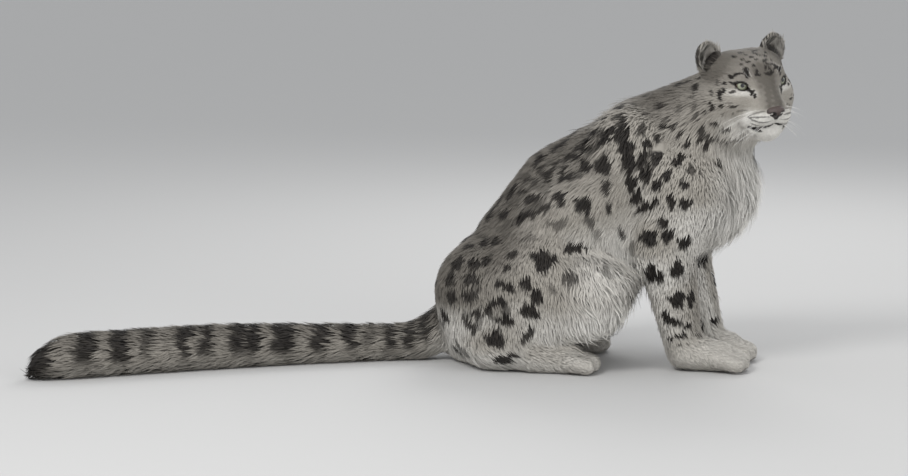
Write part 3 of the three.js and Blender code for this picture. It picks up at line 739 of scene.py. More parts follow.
under_nose = is_head * (np.linalg.norm(nose_off, axis=1) < 1.06)
bare = np.maximum(bare, np.maximum(in_lips, under_nose))
length = mix(length, 9.0, ear_out)
length = mix(length, 20.0, cup)
near_eye = np.zeros(len(skin_points))
for s in SIDES:
    near_eye = np.maximum(near_eye, is_head * step(-np.linalg.norm(in_eye(in_face, s), axis=1), -34, -20))
length = length * (1 - 0.45 * near_eye)
print("bare vertices:", int((bare > 0.5).sum()))

# %% [markdown]
# Now the markings. The main spots of the side that the photograph shows are listed one by one: each has a
# place in the picture, two radii in pixels, a turn in degrees and a strength, and is dropped onto the
# skin along the camera's line of sight once, to find its place on the body. From then on it belongs to
# the body. The same spots are mirrored, a little shifted, for the other side, as no leopard has two
# sides alike.
# %% Spots measured: the head, with painted shadows of the ruff and jaw
HEAD_SPOTS_AND_SHADOWS = [
    (746, 72, 2.3, 5.6, 4, 1.0), (731, 77, 3.2, 1.5, -35, 0.9), (737, 74.5, 4, 1.5, -14, 0.9),
    (724.4, 83.7, 1.8, 1.4, 0, 0.9), (724, 90.6, 1.4, 2.7, 10, 0.9), (732, 92, 3, 1.5, 8, 0.75),
    (720, 95.5, 2, 5, 8, 1.0), (712, 93, 1.4, 2.8, 10, 0.7), (717.8, 83, 1.2, 3, 0, 0.6),
    (712, 106.5, 2.5, 4.4, 20, 1.0), (706, 112.5, 2, 1.7, 0, 0.85), (721, 106, 2, 1.8, 0, 0.9),
    (730, 103, 3, 1, 0, 0.45), (732.5, 106.5, 4, 1.2, 10, 0.75), (742, 110.6, 4.5, 1, 12, 0.45),
    (722.5, 113.8, 1.3, 1.1, 0, 0.6), (732.5, 113, 1.1, 1, 0, 0.6), (715, 123.5, 3.8, 1.6, -10, 0.8),
    (726, 130, 4.5, 1.6, 6, 0.75), (742, 134.8, 3, 1.2, 0, 0.5),
    (734, 57.5, 2.2, 1.8, 0, 0.85), (740.6, 53.8, 3, 1.7, 15, 0.85), (742.5, 60, 2, 1.4, 0, 0.8),
    (741, 65, 1.6, 1.4, 0, 0.8), (746, 56, 1.8, 1.4, 0, 0.8), (747.5, 62.5, 2.3, 1.2, 15, 0.8),
    (751, 58, 2.4, 1.2, 20, 0.85), (754, 54, 2, 1.3, 0, 0.8), (753, 66, 1.5, 2, 0, 0.8),
    (743.8, 50, 2, 1.1, 0, 0.7), (750, 50.6, 2, 1.2, 0, 0.7), (755.6, 60, 2, 1.2, 20, 0.8),
    (760, 56, 2, 1.1, 0, 0.7), (763.8, 61, 1.5, 3, -25, 0.8), (758, 50.6, 2, 1.1, 0, 0.65),
    (737.5, 51, 2.2, 1.3, 0, 0.7), (757.5, 74.4, 3, 1.5, 0, 0.85), (756, 71, 1.2, 2.5, 0, 0.8),
    (767.5, 73.8, 3.4, 1.7, 0, 0.8), (765, 67.5, 1.4, 3, -10, 0.8), (775, 67.5, 1.3, 4.5, -30, 0.8),
    (779, 69.4, 1.2, 3, -25, 0.7), (770, 65, 3, 1.2, 10, 0.7), (752.2, 92.6, 1.4, 3.2, -35, 1.0),
    (754.6, 96, 1.3, 2.2, -10, 0.95),
    (757, 113, 7, 0.8, 0, 0.5), (757, 117.5, 8, 0.8, 2, 0.6), (757, 121.5, 8, 0.8, 4, 0.6),
    (758, 125.5, 7, 0.8, 6, 0.55), (754.5, 128.6, 5.5, 2.4, -5, 1.0),
    # The last eight marks are painted shadow, not spots: behind the cheek ruff over the neck, and under it
    # along the jaw.
    (697, 117, 2, 5, -14, 0.6), (702, 131, 3, 4.5, -40, 0.75), (709, 138.5, 5, 2, -30, 0.75),
    (694.5, 95, 1.6, 6, 0, 0.55), (695.5, 106, 1.6, 5, 0, 0.55),
    (707, 135, 6, 1.8, -40, 0.7), (720, 140.5, 8, 1.8, -8, 0.65), (736, 139, 7, 1.4, 8, 0.55),
]
print("marks on the head:", len(HEAD_SPOTS_AND_SHADOWS))

# %% [markdown]
# Spots on the neck and shoulder are larger and looser than those of the face, and some run together in
# a dark bar down the shoulder. The forelegs carry solid blotches down to the wrists.
# %% Spots measured: the neck, shoulder and forelegs
FORE_SPOTS = [
    (696, 78, 4.5, 5, 0, 1.0), (703, 77, 3.5, 3.5, 0, 0.9), (697, 88, 3, 4.5, 0, 1.0),
    (672.5, 81, 4, 3, 0, 0.85), (681.5, 87.5, 4.5, 4, 0, 0.9), (688.8, 84.4, 3, 2, 0, 0.8),
    (673.8, 95.6, 2.5, 1.6, 0, 0.7), (680, 110, 2.5, 4, 0, 0.55), (675, 128, 2.2, 5, -25, 0.9),
    (680, 136, 2.5, 5, -35, 0.9), (687, 145, 3, 5, -35, 0.9), (700, 140, 2.5, 5, -40, 0.85),
    (706, 146, 3, 6, -42, 0.9), (716, 164, 3.6, 6, -40, 0.85), (686, 125, 3, 1.5, 0, 0.6),
    (681, 158, 4, 4, 0, 0.9), (676, 164, 5, 5, 0, 0.9), (690.6, 171, 4, 6, -20, 0.7),
    (700, 176, 3, 2.5, 0, 0.6), (667, 177, 4, 6, -20, 0.85), (657, 163, 4, 4, 0, 0.8),
    (652, 158, 3.5, 3, 0, 0.8), (645.7, 178, 5, 8, 15, 0.85), (671.4, 203, 3.6, 8, 15, 0.9),
    (685.7, 204, 6, 5, 20, 0.9), (657, 201, 4, 4, 0, 0.9), (664, 223, 4.5, 5.5, 0, 0.9),
    (650, 238.6, 8, 8, 0, 0.9), (667, 236, 6, 7, 0, 0.9), (683, 243, 7, 6, 15, 0.95),
    (654, 274, 8, 10.5, 0, 1.0), (676, 270, 7, 9, 0, 1.0), (640, 273, 5, 5, 0, 0.7),
    (677, 301, 7, 8, 0, 1.0), (689.5, 301, 3.5, 9, 0, 0.95), (670, 319.5, 9.5, 5.5, -25, 1.0),
    (688.6, 325.7, 5, 3, 0, 0.95), (698.6, 317, 3, 6, 0, 0.9), (681.4, 335.7, 6, 2.5, 10, 0.9),
    (671, 339.4, 3, 2, 0, 0.85), (697, 335.7, 4, 1.6, 0, 0.7), (681, 345.7, 3, 1.4, 0, 0.6),
    (698.6, 273.7, 3.4, 6, 0, 0.95), (688, 345, 2, 1.4, 0, 0.5), (661, 345, 2, 1.4, 0, 0.5),
    (603, 121, 5, 4, 0, 0.7), (617, 119, 5, 4, 0, 0.75), (641, 131, 4.5, 8, -15, 0.7),
    (657, 140, 4, 5, 0, 0.75), (636, 108, 4, 4, 0, 0.6), (650, 98, 5, 3.5, 30, 0.75),
    (662, 108, 4, 4, 0, 0.7), (648, 117, 4, 3, 0, 0.65), (668, 122, 3.5, 3.5, 0, 0.6),
    (622, 136, 7, 10, -10, 0.9), (627, 152, 8, 9, 0, 0.95), (630, 166, 7, 9, 0, 0.92),
    (632, 182, 6, 9, 0, 0.92), (637, 197, 6, 8, -20, 0.9), (646, 207, 9, 5, 20, 0.92),
    (622, 124, 6, 6, 0, 0.8),
]
FAR_LEG_SPOTS = [(712.9, 282, 5, 5, 0, 1.0), (718, 305, 4.5, 4.5, 0, 1.0), (717, 263, 3.5, 4, 0, 0.95)]
print("marks in front:", len(FORE_SPOTS), "and", len(FAR_LEG_SPOTS), "on the far foreleg")

# %% [markdown]
# The haunch has broad black blotches, the flank faint ones and the back small ones in slanting rows. A
# few are open rings, with a smoky middle.
# %% Spots measured: the flank, haunch and the larger rings
REAR_SPOTS = [
    (584, 206, 8, 8.5, 0, 0.92), (607, 187, 4.5, 7, 0, 0.8), (609.4, 207, 3, 6, 0, 0.8),
    (605.7, 166, 6, 7, 0, 0.8), (563, 146, 9, 5, 20, 0.55), (597, 234, 5, 6, 20, 0.5),
    (634, 247, 3.5, 7, 20, 0.5), (608.6, 256, 4, 3, 0, 0.5), (543, 263, 10.5, 11, 0, 1.0),
    (574, 248.6, 12, 6.5, 10, 0.9), (500, 285, 6, 4.5, 10, 0.9), (510, 289, 7, 4.5, -15, 0.9),
    (526, 285, 6, 7, 0, 0.95), (537, 297, 6, 8, 15, 0.95), (513, 257, 5, 4, 0, 0.8),
    (508.6, 269, 5, 3, 0, 0.8), (508.6, 321, 6, 6, 0, 1.0), (530, 311, 9.5, 7.5, 0, 1.0),
    (495.7, 339, 9, 9, 0, 0.95), (465.7, 350, 7, 6, 0, 0.6), (507, 357, 13, 5.5, 25, 0.85),
    (528.6, 334, 4.5, 10, -35, 0.8), (570, 281, 9, 6, -15, 0.7), (553, 291, 4, 6, 20, 0.5),
    (605.7, 274, 5, 6, 0, 0.5), (538.6, 206, 12, 6, 15, 0.5), (558.6, 224, 10, 4.5, 10, 0.55),
    (545.7, 189, 5, 9, 20, 0.45), (520, 222, 8, 5, 20, 0.45), (530, 240, 7, 4, 0, 0.45),
    (505, 240, 6, 4, 30, 0.4), (488, 262, 5, 6, 0, 0.45), (477, 290, 5, 7, 0, 0.45), (563, 358, 6, 3, 0, 0.3),
]
BACK_SPOTS = [
    (565, 146, 7, 4, 35, 1), (556, 152, 5, 4, 35, 0.98), (540, 163, 7, 5, 40, 0.91),
    (518, 178, 5, 4, 40, 0.91), (515, 193, 6, 4, 40, 0.91), (503, 202, 5, 4, 45, 0.91),
    (506, 216, 5, 5, 0, 0.85), (493, 216, 5, 5, 45, 0.91), (524, 219, 6, 4, 30, 0.91),
    (486, 246, 5, 6, 0, 0.85), (497, 243, 4, 6, 20, 0.78), (477, 228, 5, 5, 40, 0.85),
    (468, 249, 5, 6, 30, 0.85), (459, 266, 5, 7, 20, 0.85), (474, 266, 5, 6, 0, 0.85),
    (486, 263, 4, 5, 0, 0.85), (471, 281, 6, 5, 0, 0.78), (452, 280, 4, 7, 10, 0.78),
    (453, 297, 5, 6, 0, 0.85), (471, 297, 7, 5, 0, 0.78), (447, 316, 4, 6, 0, 0.85),
    (439, 314, 3, 5, 0, 0.91), (462, 350, 6, 5, 0, 0.98), (577, 136, 6, 4, 35, 1),
    (590, 128, 6, 4, 35, 1), (604, 118, 6, 4, 35, 1), (628, 104, 4, 3, 20, 0.98),
    (640, 96, 4, 3, 20, 0.98), (654, 88, 4, 3, 20, 0.98), (612, 132, 5, 5, 0, 1),
    (560, 200, 5, 7, 15, 0.91), (590, 222, 4, 6, 20, 0.65), (548, 178, 4, 6, 15, 0.85),
    (622, 232, 3, 7, 20, 0.78), (647, 146, 4, 5, 0, 1), (640, 166, 3, 6, 0, 1), (658, 186, 4, 5, 0, 1),
    (665, 128, 4, 3, 0, 0.98), (684, 186, 4, 4, 0, 0.98),
]
RINGS = [
    (574, 168.5, 13, 13.5, 0, 1.0), (595.7, 143, 11, 10.5, 0, 1.0), (498.6, 311, 12, 10.5, 0, 1.0),
    (473, 320, 8.5, 9.5, 0, 0.8), (651, 160, 9, 9.5, 0, 0.9), (548, 172, 8, 9, 10, 0.7),
    (536, 207, 11, 10, 0, 0.8), (530, 187, 8, 8, 0, 0.7), (604, 166, 7, 9, 0, 0.8),
]
print("spots placed by eye:", len(HEAD_SPOTS_AND_SHADOWS + FORE_SPOTS + FAR_LEG_SPOTS + REAR_SPOTS + BACK_SPOTS + RINGS))


# %% [markdown]
# A place in the picture is only a direction in space. We follow that line of sight until it meets the
# skin's field and lay the spot down there, somewhat wider where the skin turns away from us.
# %% From the picture onto the body
def sight(px, py):
    """Unit directions from the eye point through places of the picture."""
    across = np.outer(np.atleast_1d(px) - MIDDLE_X, r) * PIXEL
    return unit(d * DISTANCE + across + np.outer(MIDDLE_Y - np.atleast_1d(py), u) * PIXEL)


NEAREST, FARTHEST = 5150, 6900


def land(px, py):
    """Where each line of sight first meets the coat's skin, in millimetres; a miss gives no number."""
    ways = sight(px, py)
    start = eye_point * 1000
    reach = np.arange(NEAREST, FARTHEST, 9.0)
    found = np.full((len(ways), 3), np.nan)
    for k, way in enumerate(ways):
        line = start + reach[:, None] * way
        close = (line[:, 2] > -5) & (line[:, 2] < 760)
        value = np.full(len(line), 50.0)
        value[close] = skin_field(line[close])
        hits = np.flatnonzero(value < 0)
        if len(hits):
            k0 = max(hits[0] - 1, 0)
            share = value[k0] / max(value[k0] - value[hits[0]], 1e-6)
            found[k] = line[k0] + (line[hits[0]] - line[k0]) * share
    return found


def spots_from(table, ring=False, widest=1.6, grown=1.0):
    """Spots as rows: centre, two axes across and up the coat, two radii, strength, ring or not."""
    marks = np.array(table, float)
    centre = land(marks[:, 0], marks[:, 1])
    out = unit(slope_of(skin_field, centre))
    right = unit(r - (out @ r)[:, None] * out)
    lifted = np.cross(out, right)
    stretch = np.clip(1 / np.maximum(np.linalg.norm(r - (out @ r)[:, None] * out, axis=1), 0.3), 1, widest)
    angle = np.radians(marks[:, 4])[:, None]
    e1 = right * np.cos(angle) + lifted * np.sin(angle)
    e2 = np.cross(out, e1)
    size = marks[:, 2:4] * PIXEL * 1000 * grown
    size[:, 0] *= stretch
    flag = np.full((len(marks), 1), float(ring))
    made = np.hstack([centre, e1, e2, size, marks[:, 5:6], flag])
    return made[~np.isnan(made).any(1)]


def on_skin(points):
    for _ in range(3):
        g = slope_of(skin_field, points)
        points = points - skin_field(points)[:, None] * g / np.maximum((g ** 2).sum(1, keepdims=True), 0.2)
    return points


def mirrored(made, shift, seed):
    """The same spots on the animal's left side, each moved a little and resized."""
    draws = np.random.default_rng(seed)
    other = made.copy()
    for column in (1, 4, 7):
        other[:, column] *= -1
    other[:, :3] += draws.normal(0, shift, (len(made), 3)) * [1, 0, 1]
    other[:, :3] = on_skin(other[:, :3])
    other[:, 9:11] *= draws.uniform(0.85, 1.15, (len(made), 2))
    return other


def mirrored_face(made):
    """The head's spots and painted ruff shadows across its own middle plane, leaving out those that lie on it.
    """
    flip = HEAD_TURN @ np.diag([1, -1, 1]) @ HEAD_TURN.T
    near = made[to_head(made[:, :3])[:, 1] < -9].copy()
    near[:, :3] = (near[:, :3] - HEAD_AT) @ flip.T + HEAD_AT
    near[:, 3:6] = near[:, 3:6] @ flip.T
    near[:, 6:9] = near[:, 6:9] @ flip.T
    return near


head_spots_and_shadows = spots_from(HEAD_SPOTS_AND_SHADOWS, widest=1.25, grown=1.16)
body_spots = np.vstack([spots_from(FORE_SPOTS), spots_from(REAR_SPOTS), spots_from(BACK_SPOTS, grown=1.12),
                        spots_from(RINGS, True)])
body_spots = body_spots[body_spots[:, 1] < 20]
other_side = mirrored(body_spots, shift=9, seed=5)
spots = np.vstack([head_spots_and_shadows, mirrored_face(head_spots_and_shadows), body_spots, other_side, spots_from(FAR_LEG_SPOTS)])
print("spots on the body:", len(spots))

# %% [markdown]
# The back, the far haunch and other places that the picture doesn't show get rings and blotches of their
# own: points are drawn on the skin and kept where they are far enough from all those already there. Rings
# are for the back and flanks, solid blotches for the legs.
# %% Rings and blotches elsewhere
def scattered(count, gap, seed):
    """Spots at random places that the picture doesn't show, at least a gap away from all others."""
    draws = np.random.default_rng(seed)
    pick = draws.choice(len(body_points), count, replace=False)
    taken = list(spots[:, :3])
    sizes = list(spots[:, 9:11].max(1))
    made = []
    for i in pick:
        p, w = skin_points[i], weights[i]
        if w[TAIL] > 0.25 or w[HEAD] > 0.3 or p[2] < 70 or w[FOREPAW] + w[HINDPAW] > 0.4:
            continue
        bib = p[0] > 500 and p[2] < 560 and p[0] * 0.6 + abs(p[1]) * -1.0 > 240
        in_picture = p[1] < -15 and normals[i] @ unit(eye_point * 1000 - p) > 0.2
        if normals[i, 2] < -0.45 or bib or in_picture:
            continue
        size = draws.uniform(9, 21) * (0.62 if w[NECK] > 0.4 else 1)
        away = np.linalg.norm(np.array(taken) - p, axis=1) - np.array(sizes)
        if away.min() < gap + size:
            continue
        ring = w[TRUNK] > 0.55 and size > 14
        e1 = lie[i]
        e2 = np.cross(normals[i], e1)
        strength = 0.72 if w[TRUNK] > 0.5 else 0.9
        long_way = size * draws.uniform(0.9, 1.3)
        made.append(np.concatenate([p, e1, e2, [long_way, size, strength, float(ring)]]))
        taken.append(p)
        sizes.append(size)
    return np.array(made)


spots = np.vstack([spots, scattered(count=2600, gap=9, seed=3)])
print("all spots:", len(spots))


# %% [markdown]
# A colour painted on one mesh would be lost on the next. Numbers worked out from a place can be asked for
# on the skin and on every tuft alike. Each spot is an uneven oval with a ragged edge, and a ring is a
# broken band round a smoky middle.
# %% Painting the spots as numbers
def paint(p):
    """Two numbers for each point: how dark a spot is there, and how smoky the middle of a ring is."""
    dark = np.zeros(len(p))
    smoky = np.zeros(len(p))
    calm = 1 - 0.65 * step(-np.linalg.norm(to_head(p), axis=1), -200, -140)
    ragged = (0.16 * wave(p, 17, 1) + 0.10 * wave(p, 7, 2)) * calm
    for k, row in enumerate(spots):
        reach = row[9:11].max() * 1.7
        near = np.flatnonzero((np.abs(p - row[:3]) < reach).all(1))
        if not len(near):
            continue
        off = p[near] - row[:3]
        a, b = off @ row[3:6] / row[9], off @ row[6:9] / row[10]
        far = np.sqrt(a * a + b * b)
        angle = np.arctan2(b, a)
        uneven = min(1.0, row[9:11].max() / 16)
        lobes = 1 + uneven * (0.13 * np.sin(3 * angle + k) + 0.08 * np.sin(5 * angle + 2.3 * k))
        far = far / lobes + ragged[near]
        if row[12] > 0.5:
            gaps = 0.6 + 0.4 * step(np.sin(2 * angle + 1.7 * k) + 0.7 * np.sin(3 * angle + k), -1.0, 0.2)
            value = step(-np.abs(far - 0.8), -0.46, -0.24) * gaps
            smoky[near] = np.maximum(smoky[near], 0.75 * step(-far, -0.95, -0.6))
        else:
            value = step(-far, -1.16, -0.86)
        dark[near] = np.maximum(dark[near], value * row[11])
    return dark, smoky


# %% [markdown]
# The tail carries broad dark rings on its upper side, closed to a dark tip. Their places along the tail
# are read from the picture and turned into shares of its length.
# %% Tail bands
TAIL_BANDS = [(430, 6, 0.8), (412, 6, 0.85), (392, 6, 0.85), (370, 5, 0.5), (350, 8, 0.85), (320, 9, 0.85),
              (285, 11, 0.9), (254, 7, 0.9), (240, 7, 0.9), (208, 8, 0.85), (186, 7, 0.9), (148, 7, 0.6),
              (122, 9, 0.95), (88, 13, 0.85), (36, 20, 0.95)]  # middle and half width in pixels, strength
tail_ts = np.linspace(0, 1, 200)
tail_line = tail_point(tail_ts)
tail_ray = tail_line * 0.001 - eye_point
tail_px = MIDDLE_X + (tail_ray @ r) / (tail_ray @ d) * DISTANCE / PIXEL


def paint_tail(p):
    """How dark the bands are at each point, and how far up the tail's side it lies."""
    t = np.interp(-p[:, 0], -tail_line[:, 0], tail_ts)
    px = np.interp(t, tail_ts, tail_px)
    px = px + 3.0 * wave(p, 45, 8) + 1.5 * wave(p, 18, 9)
    middle = tail_point(t)
    up = (p[:, 2] - middle[:, 2]) / tail_radius(t)
    out = np.zeros(len(p))
    for at, half, strength in TAIL_BANDS:
        out = np.maximum(out, strength * step(-np.abs(px - at), -half * 1.25, -half * 0.6))
    closed = step(-t, -1.0, -0.92)
    return out * np.maximum(step(up, -0.55, 0.15), 1 - closed), up


print("tail bands:", len(TAIL_BANDS))

# %% [markdown]
# The ground colour is smoky grey over the back, the haunch, the upper side of the tail, the crown and the
# bridge of the nose. Each of these is a share between 0 and 1, worked out from where a point lies and
# which part of the body it belongs to.
# %% Smoky ground
def near_ears(q):
    """How near a point of the head is to the foot of an ear."""
    share = np.zeros(len(q))
    for s in SIDES:
        from_ear = np.linalg.norm((q - np.array([-2, 66 * s, 42])) / np.array([34, 30, 34]), axis=1)
        share = np.maximum(share, step(-from_ear, -1.5, -0.7))
    return share


def smoky_ground(p, q, w, up, back, haunch):
    smoke = 0.2 * (w[:, TRUNK] + w[:, HINDLEG] + w[:, FORELEG]) + 0.8 * back + 0.7 * haunch
    smoke = np.clip(smoke, 0, 0.95) + w[:, TAIL] * (0.45 + 0.45 * step(up, -0.3, 0.7))
    top_of_head = step(q[:, 2], -5, 50) * w[:, HEAD]
    bridge = w[:, HEAD] * step(q[:, 0], 56, 92) * step(-np.abs(q[:, 1]), -36, -8) * step(q[:, 2], -50, -20)
    depth = 0.75 + 0.2 * wave(p, 12, 31) + 0.3 * step(q[:, 0], 96, 128)
    smoke = smoke + 0.6 * top_of_head + bridge * depth + 0.35 * w[:, HEAD] * step(-q[:, 0], -70, -20)
    smoke = smoke + 0.5 * near_ears(q) * w[:, HEAD]
    return smoke + 0.25 * w[:, NECK] * step(normal_up(p), -0.4, 0.6)


# %% [markdown]
# Chest, belly, chin, lips, the insides of the legs and the patches under the eyes are cream-white, and the
# feet and the tail's underside a little paler than the rest.
# %% White parts
def pale_parts(p, q, normal, w, up):
    chest = step(p[:, 0], 470, 575) * step(-p[:, 2], -590, -500) * (w[:, NECK] + w[:, TRUNK] + w[:, FORELEG])
    belly = step(-normal[:, 2], -0.05, 0.5) * (w[:, TRUNK] + w[:, FORELEG] + w[:, HINDLEG])
    flank = step(-p[:, 2], -300, -210) * step(p[:, 0], 170, 260) * (w[:, TRUNK] + 0.7 * w[:, HINDLEG])
    chin = w[:, HEAD] * step(-q[:, 2], 40, 62) * step(q[:, 0], 30, 90)
    lip = w[:, HEAD] * step(q[:, 0], 84, 104) * step(-q[:, 2], 22, 40)
    under_eye = w[:, HEAD] * step(q[:, 0], 50, 84) * step(-np.abs(q[:, 2] - 6), -11, -2)
    under_eye = under_eye * step(np.abs(q[:, 1]), 20, 38)
    white = np.clip(chest + 0.8 * belly + 0.65 * flank + chin + 0.8 * lip + 0.7 * under_eye, 0, 1)
    inner = step(-np.abs(p[:, 1]), -46, -28) * (w[:, FORELEG] + w[:, HINDLEG]) * step(p[:, 0], 60, 140)
    feet = 0.35 * (w[:, FOREPAW] + w[:, HINDPAW])
    return np.clip(white + 0.6 * inner + feet + 0.15 * w[:, TAIL] * step(-up, 0.1, 0.7), 0, 1)


# %% [markdown]
# The small marks of the face are added last: the dark liner round the lids, drawn wider on the upper lid
# as painted shade under the brow; the dark rims of the ears, with painted shade deep in their hollows and
# their paler hair; and the line of the lips.
# %% Ears, lids and lips
def face_marks(q, w, extra):
    """Dark and painted shade, and the least smoke and white, of the face; and how much of the smoke the ears'
    backs keep.
    """
    lid_line_and_brow_shade, in_cup, behind_ear = extra
    from_back = np.minimum(ear_back(ear_frame(q, -1)), ear_back(ear_frame(q, 1)))
    rim = step(from_back, -3.5, 0.5)
    dark = np.maximum(lid_line_and_brow_shade, 0.72 * behind_ear * step(-rim, -0.7, -0.2))
    hollow = np.minimum(np.linalg.norm(ear_frame(q, -1) - [0, 6, -6], axis=1),
                        np.linalg.norm(ear_frame(q, 1) - [0, -6, -6], axis=1))
    # Painted shade: each ear's cup is made near black deep in its hollow.
    dark = np.maximum(dark, 0.95 * in_cup * step(-hollow, -29, -12))
    lips_line = w[:, HEAD] * step(q[:, 0], 86, 92) * step(-to_line(q, MOUTH), -3.4, -2.2)
    dark = np.maximum(dark, 0.9 * lips_line)
    ear_smoke = 0.75 * np.maximum(behind_ear, in_cup)
    ear_white = 0.3 * in_cup * step(hollow, 18, 30)
    return dark, ear_smoke, ear_white, 1 - 0.8 * behind_ear


# %% [markdown]
# One function gives dark, smoke and white for any point, so that the skin and every tuft over it carry
# the same markings. Dark holds the spots and also painted shade: behind and under the cheek ruff, deep in
# the ears' cups and under the brow.
# %% The whole pattern
def pattern(p, normal, w, extra):
    """Columns: dark spots and painted shade, smoky ground, white. extra holds the lid line with its painted
    brow shade, the ear cups and the ear backs of the same points.
    """
    dark, smoky = paint(p)
    q = to_head(p)
    tail_dark, up = paint_tail(p)
    dark = mix(dark, tail_dark, step(w[:, TAIL], 0.3, 0.6))
    back = step(normal[:, 2] * 0.8 - normal[:, 0] * 0.6, 0.15, 0.95)
    back = back * (w[:, TRUNK] + w[:, NECK] + 0.6 * w[:, HINDLEG])
    haunch = step(-p[:, 0], -120, 20) * step(p[:, 2], 60, 140) * (w[:, TRUNK] + 0.8 * w[:, HINDLEG])
    mottle = step(0.5 + 0.5 * wave(p, 40, 12), 0.45, 0.85)
    dark = np.maximum(dark, 0.42 * np.clip(back + 0.7 * haunch, 0, 1) * mottle * (w[:, TRUNK] > 0.4))
    # Painted shadow: a dark band low on the head's sides where the cheek ruff overhangs the neck.
    painted_ruff_shadow = w[:, HEAD] * step(-np.abs((p - SEAM_AT) @ SEAM_BACK + 40), -14, -4) * step(-q[:, 2], -20, 30)
    dark = np.maximum(dark, 0.5 * painted_ruff_shadow * step(-np.abs(q[:, 1]), -90, -60))
    smoke = smoky_ground(p, q, w, up, back, haunch)
    white = pale_parts(p, q, normal, w, up)
    face_dark_and_shade, least_smoke, least_white, kept = face_marks(q, w, extra)
    dark = step(np.maximum(dark, face_dark_and_shade), 0.04, 0.92)
    smoke = np.maximum(smoke * kept, least_smoke)
    white = np.maximum(white, least_white)
    smoke = np.clip(np.maximum(smoke, smoky) * (1 - 0.85 * white), 0, 1)
    white = white * (1 - 0.7 * smoky)
    return np.stack([np.clip(dark, 0, 1), smoke, white], 1)


extras = np.stack([liner_and_brow_shade, cup, ear_out], 1)
skin_pattern = pattern(skin_points, normals, weights, extras.T)
for column, name in enumerate(("dark", "smoke", "white")):
    put_number(skin, name, skin_pattern[:, column])
print("mean of dark, smoke, white:", skin_pattern.mean(0).round(2))

# %% [markdown]
# Now the fur itself. On a museum model it would be real hide, or hairs punched in by hand; here each tuft
# is a small solid blade with three sides, its root sunk a little into the skin, its tip free. Tufts are
# fine and close on the face and feet, and long and loose on chest, belly, cheeks and tail. The coat is
# made in pieces, so that no one of them grows too heavy. All that a tuft needs to know of its root stands
# in one row of 'everything', and the names below say which column is what.
# %% Pieces of the coat
COUNTS = {
    "head_right": 15500, "head_left": 15500, "neck": 14500, "trunk_front_right": 12500,
    "trunk_front_left": 12500, "trunk_rear_right": 10500, "trunk_rear_left": 10500, "forelegs": 14000,
    "forepaws": 5000, "hindleg_right": 12500, "hindleg_left": 12500, "hindpaws": 4500, "tail": 10500,
}
everything = np.hstack([skin_points, normals, lie, length[:, None], weights, bare[:, None], extras])
PLACE, NORMAL, LIE, HAIR, SHARES = slice(0, 3), slice(3, 6), slice(6, 9), 9, slice(10, 18)
BARE, MARKS, CUP, EAR_OUT = 18, slice(19, 22), 20, 21
middle = everything[skin_quads].mean(1)
corners = skin_points[skin_quads]
areas = np.linalg.norm(np.cross(corners[:, 2] - corners[:, 0], corners[:, 3] - corners[:, 1]), axis=1) / 2
quad_seam = outside_head(middle[:, PLACE])
quad_head = skin_quads[:, 0] >= len(body_points)
free = np.where(quad_head, quad_seam < -4, quad_seam > -8)
free &= ~((middle[:, 2] < 5) & (middle[:, 5] < -0.6))
thick = areas * (1 - step(middle[:, BARE], 0.25, 0.6)) * free * (16 / (middle[:, HAIR] + 3)) ** 0.8
thick *= 1 - 0.6 * step(-middle[:, 5], 0.5, 0.9) * step(-middle[:, 2], -120, -40)


def piece_names(data):
    """The piece of the coat to which each quad of the skin belongs."""
    main = data[:, SHARES].argmax(1)
    main = np.where(quad_head, HEAD, np.where(main == HEAD, NECK, main))
    left = data[:, 1] > 0
    face_left = to_head(data[:, PLACE])[:, 1] > 0
    plain = ["head", "neck", "trunk", "tail", "forelegs", "forepaws", "hindleg", "hindpaws"]
    names = np.array(plain, object)[main]
    names[main == HEAD] += np.where(face_left, "_left", "_right")[main == HEAD]
    names[main == HINDLEG] += np.where(left, "_left", "_right")[main == HINDLEG]
    front = np.where(data[:, 0] > 270, "_front", "_rear").astype(object) + np.where(left, "_left", "_right")
    names[main == TRUNK] += front[main == TRUNK]
    return names


quad_piece = piece_names(middle)
for name, count in COUNTS.items():
    room = float((areas * free)[quad_piece == name].sum())
    print(f"{name}: {room / 1000:.0f} thousand square mm, one tuft each {room / count:.1f} square mm")


# %% [markdown]
# Where does each tuft stand? Quads are picked in proportion to their area and to how closely the fur
# grows there, in even steps, so that the roots are spread evenly without standing in rows.
# %% Roots
def roots(name, count, draws):
    """Rows of 'everything' at places drawn on the skin, and the room each tuft has."""
    own = np.flatnonzero((quad_piece == name) & (thick > 0))
    edge = np.cumsum(thick[own])
    at = (np.arange(count) + draws.random(count)) / count * edge[-1]
    pick = own[np.searchsorted(edge, at).clip(0, len(own) - 1)]
    a, b = draws.random((2, count, 1))
    four = everything[skin_quads[pick]]
    data = (four[:, 0] * (1 - a) + four[:, 1] * a) * (1 - b) + (four[:, 3] * (1 - a) + four[:, 2] * a) * b
    room = areas[pick] / thick[pick] * edge[-1] / count
    return data, np.sqrt(room)


# %% [markdown]
# A coat isn't combed flat: hairs gather in locks that part and cross a little. We swing the lie to and fro
# in slow waves over the skin and then a little more for each tuft. About one tuft in eight on the chest,
# cheeks, belly, knees and the backs of the forelegs is a longer guard lock that stands off the rest.
# %% Shape of a tuft
GUARD_SHARE = 0.12


def loose_share(p, w, q):
    """Where the fur is long and loose."""
    chest = step(p[:, 0], 470, 540) * step(-p[:, 2], -540, -450) * (w[:, NECK] + w[:, TRUNK] + w[:, FORELEG])
    belly = step(-p[:, 2], -300, -220) * step(p[:, 0], 150, 220) * (w[:, TRUNK] + w[:, HINDLEG])
    ruff = w[:, HEAD] * step(-q[:, 2], 0, 50) * step(-q[:, 0], -60, 0)
    knee = w[:, HINDLEG] * step(p[:, 0], 170, 230)
    feather = w[:, FORELEG] * step(-p[:, 0], -400, -350)
    return np.clip(chest + belly + ruff + knee + feather, 0, 1)


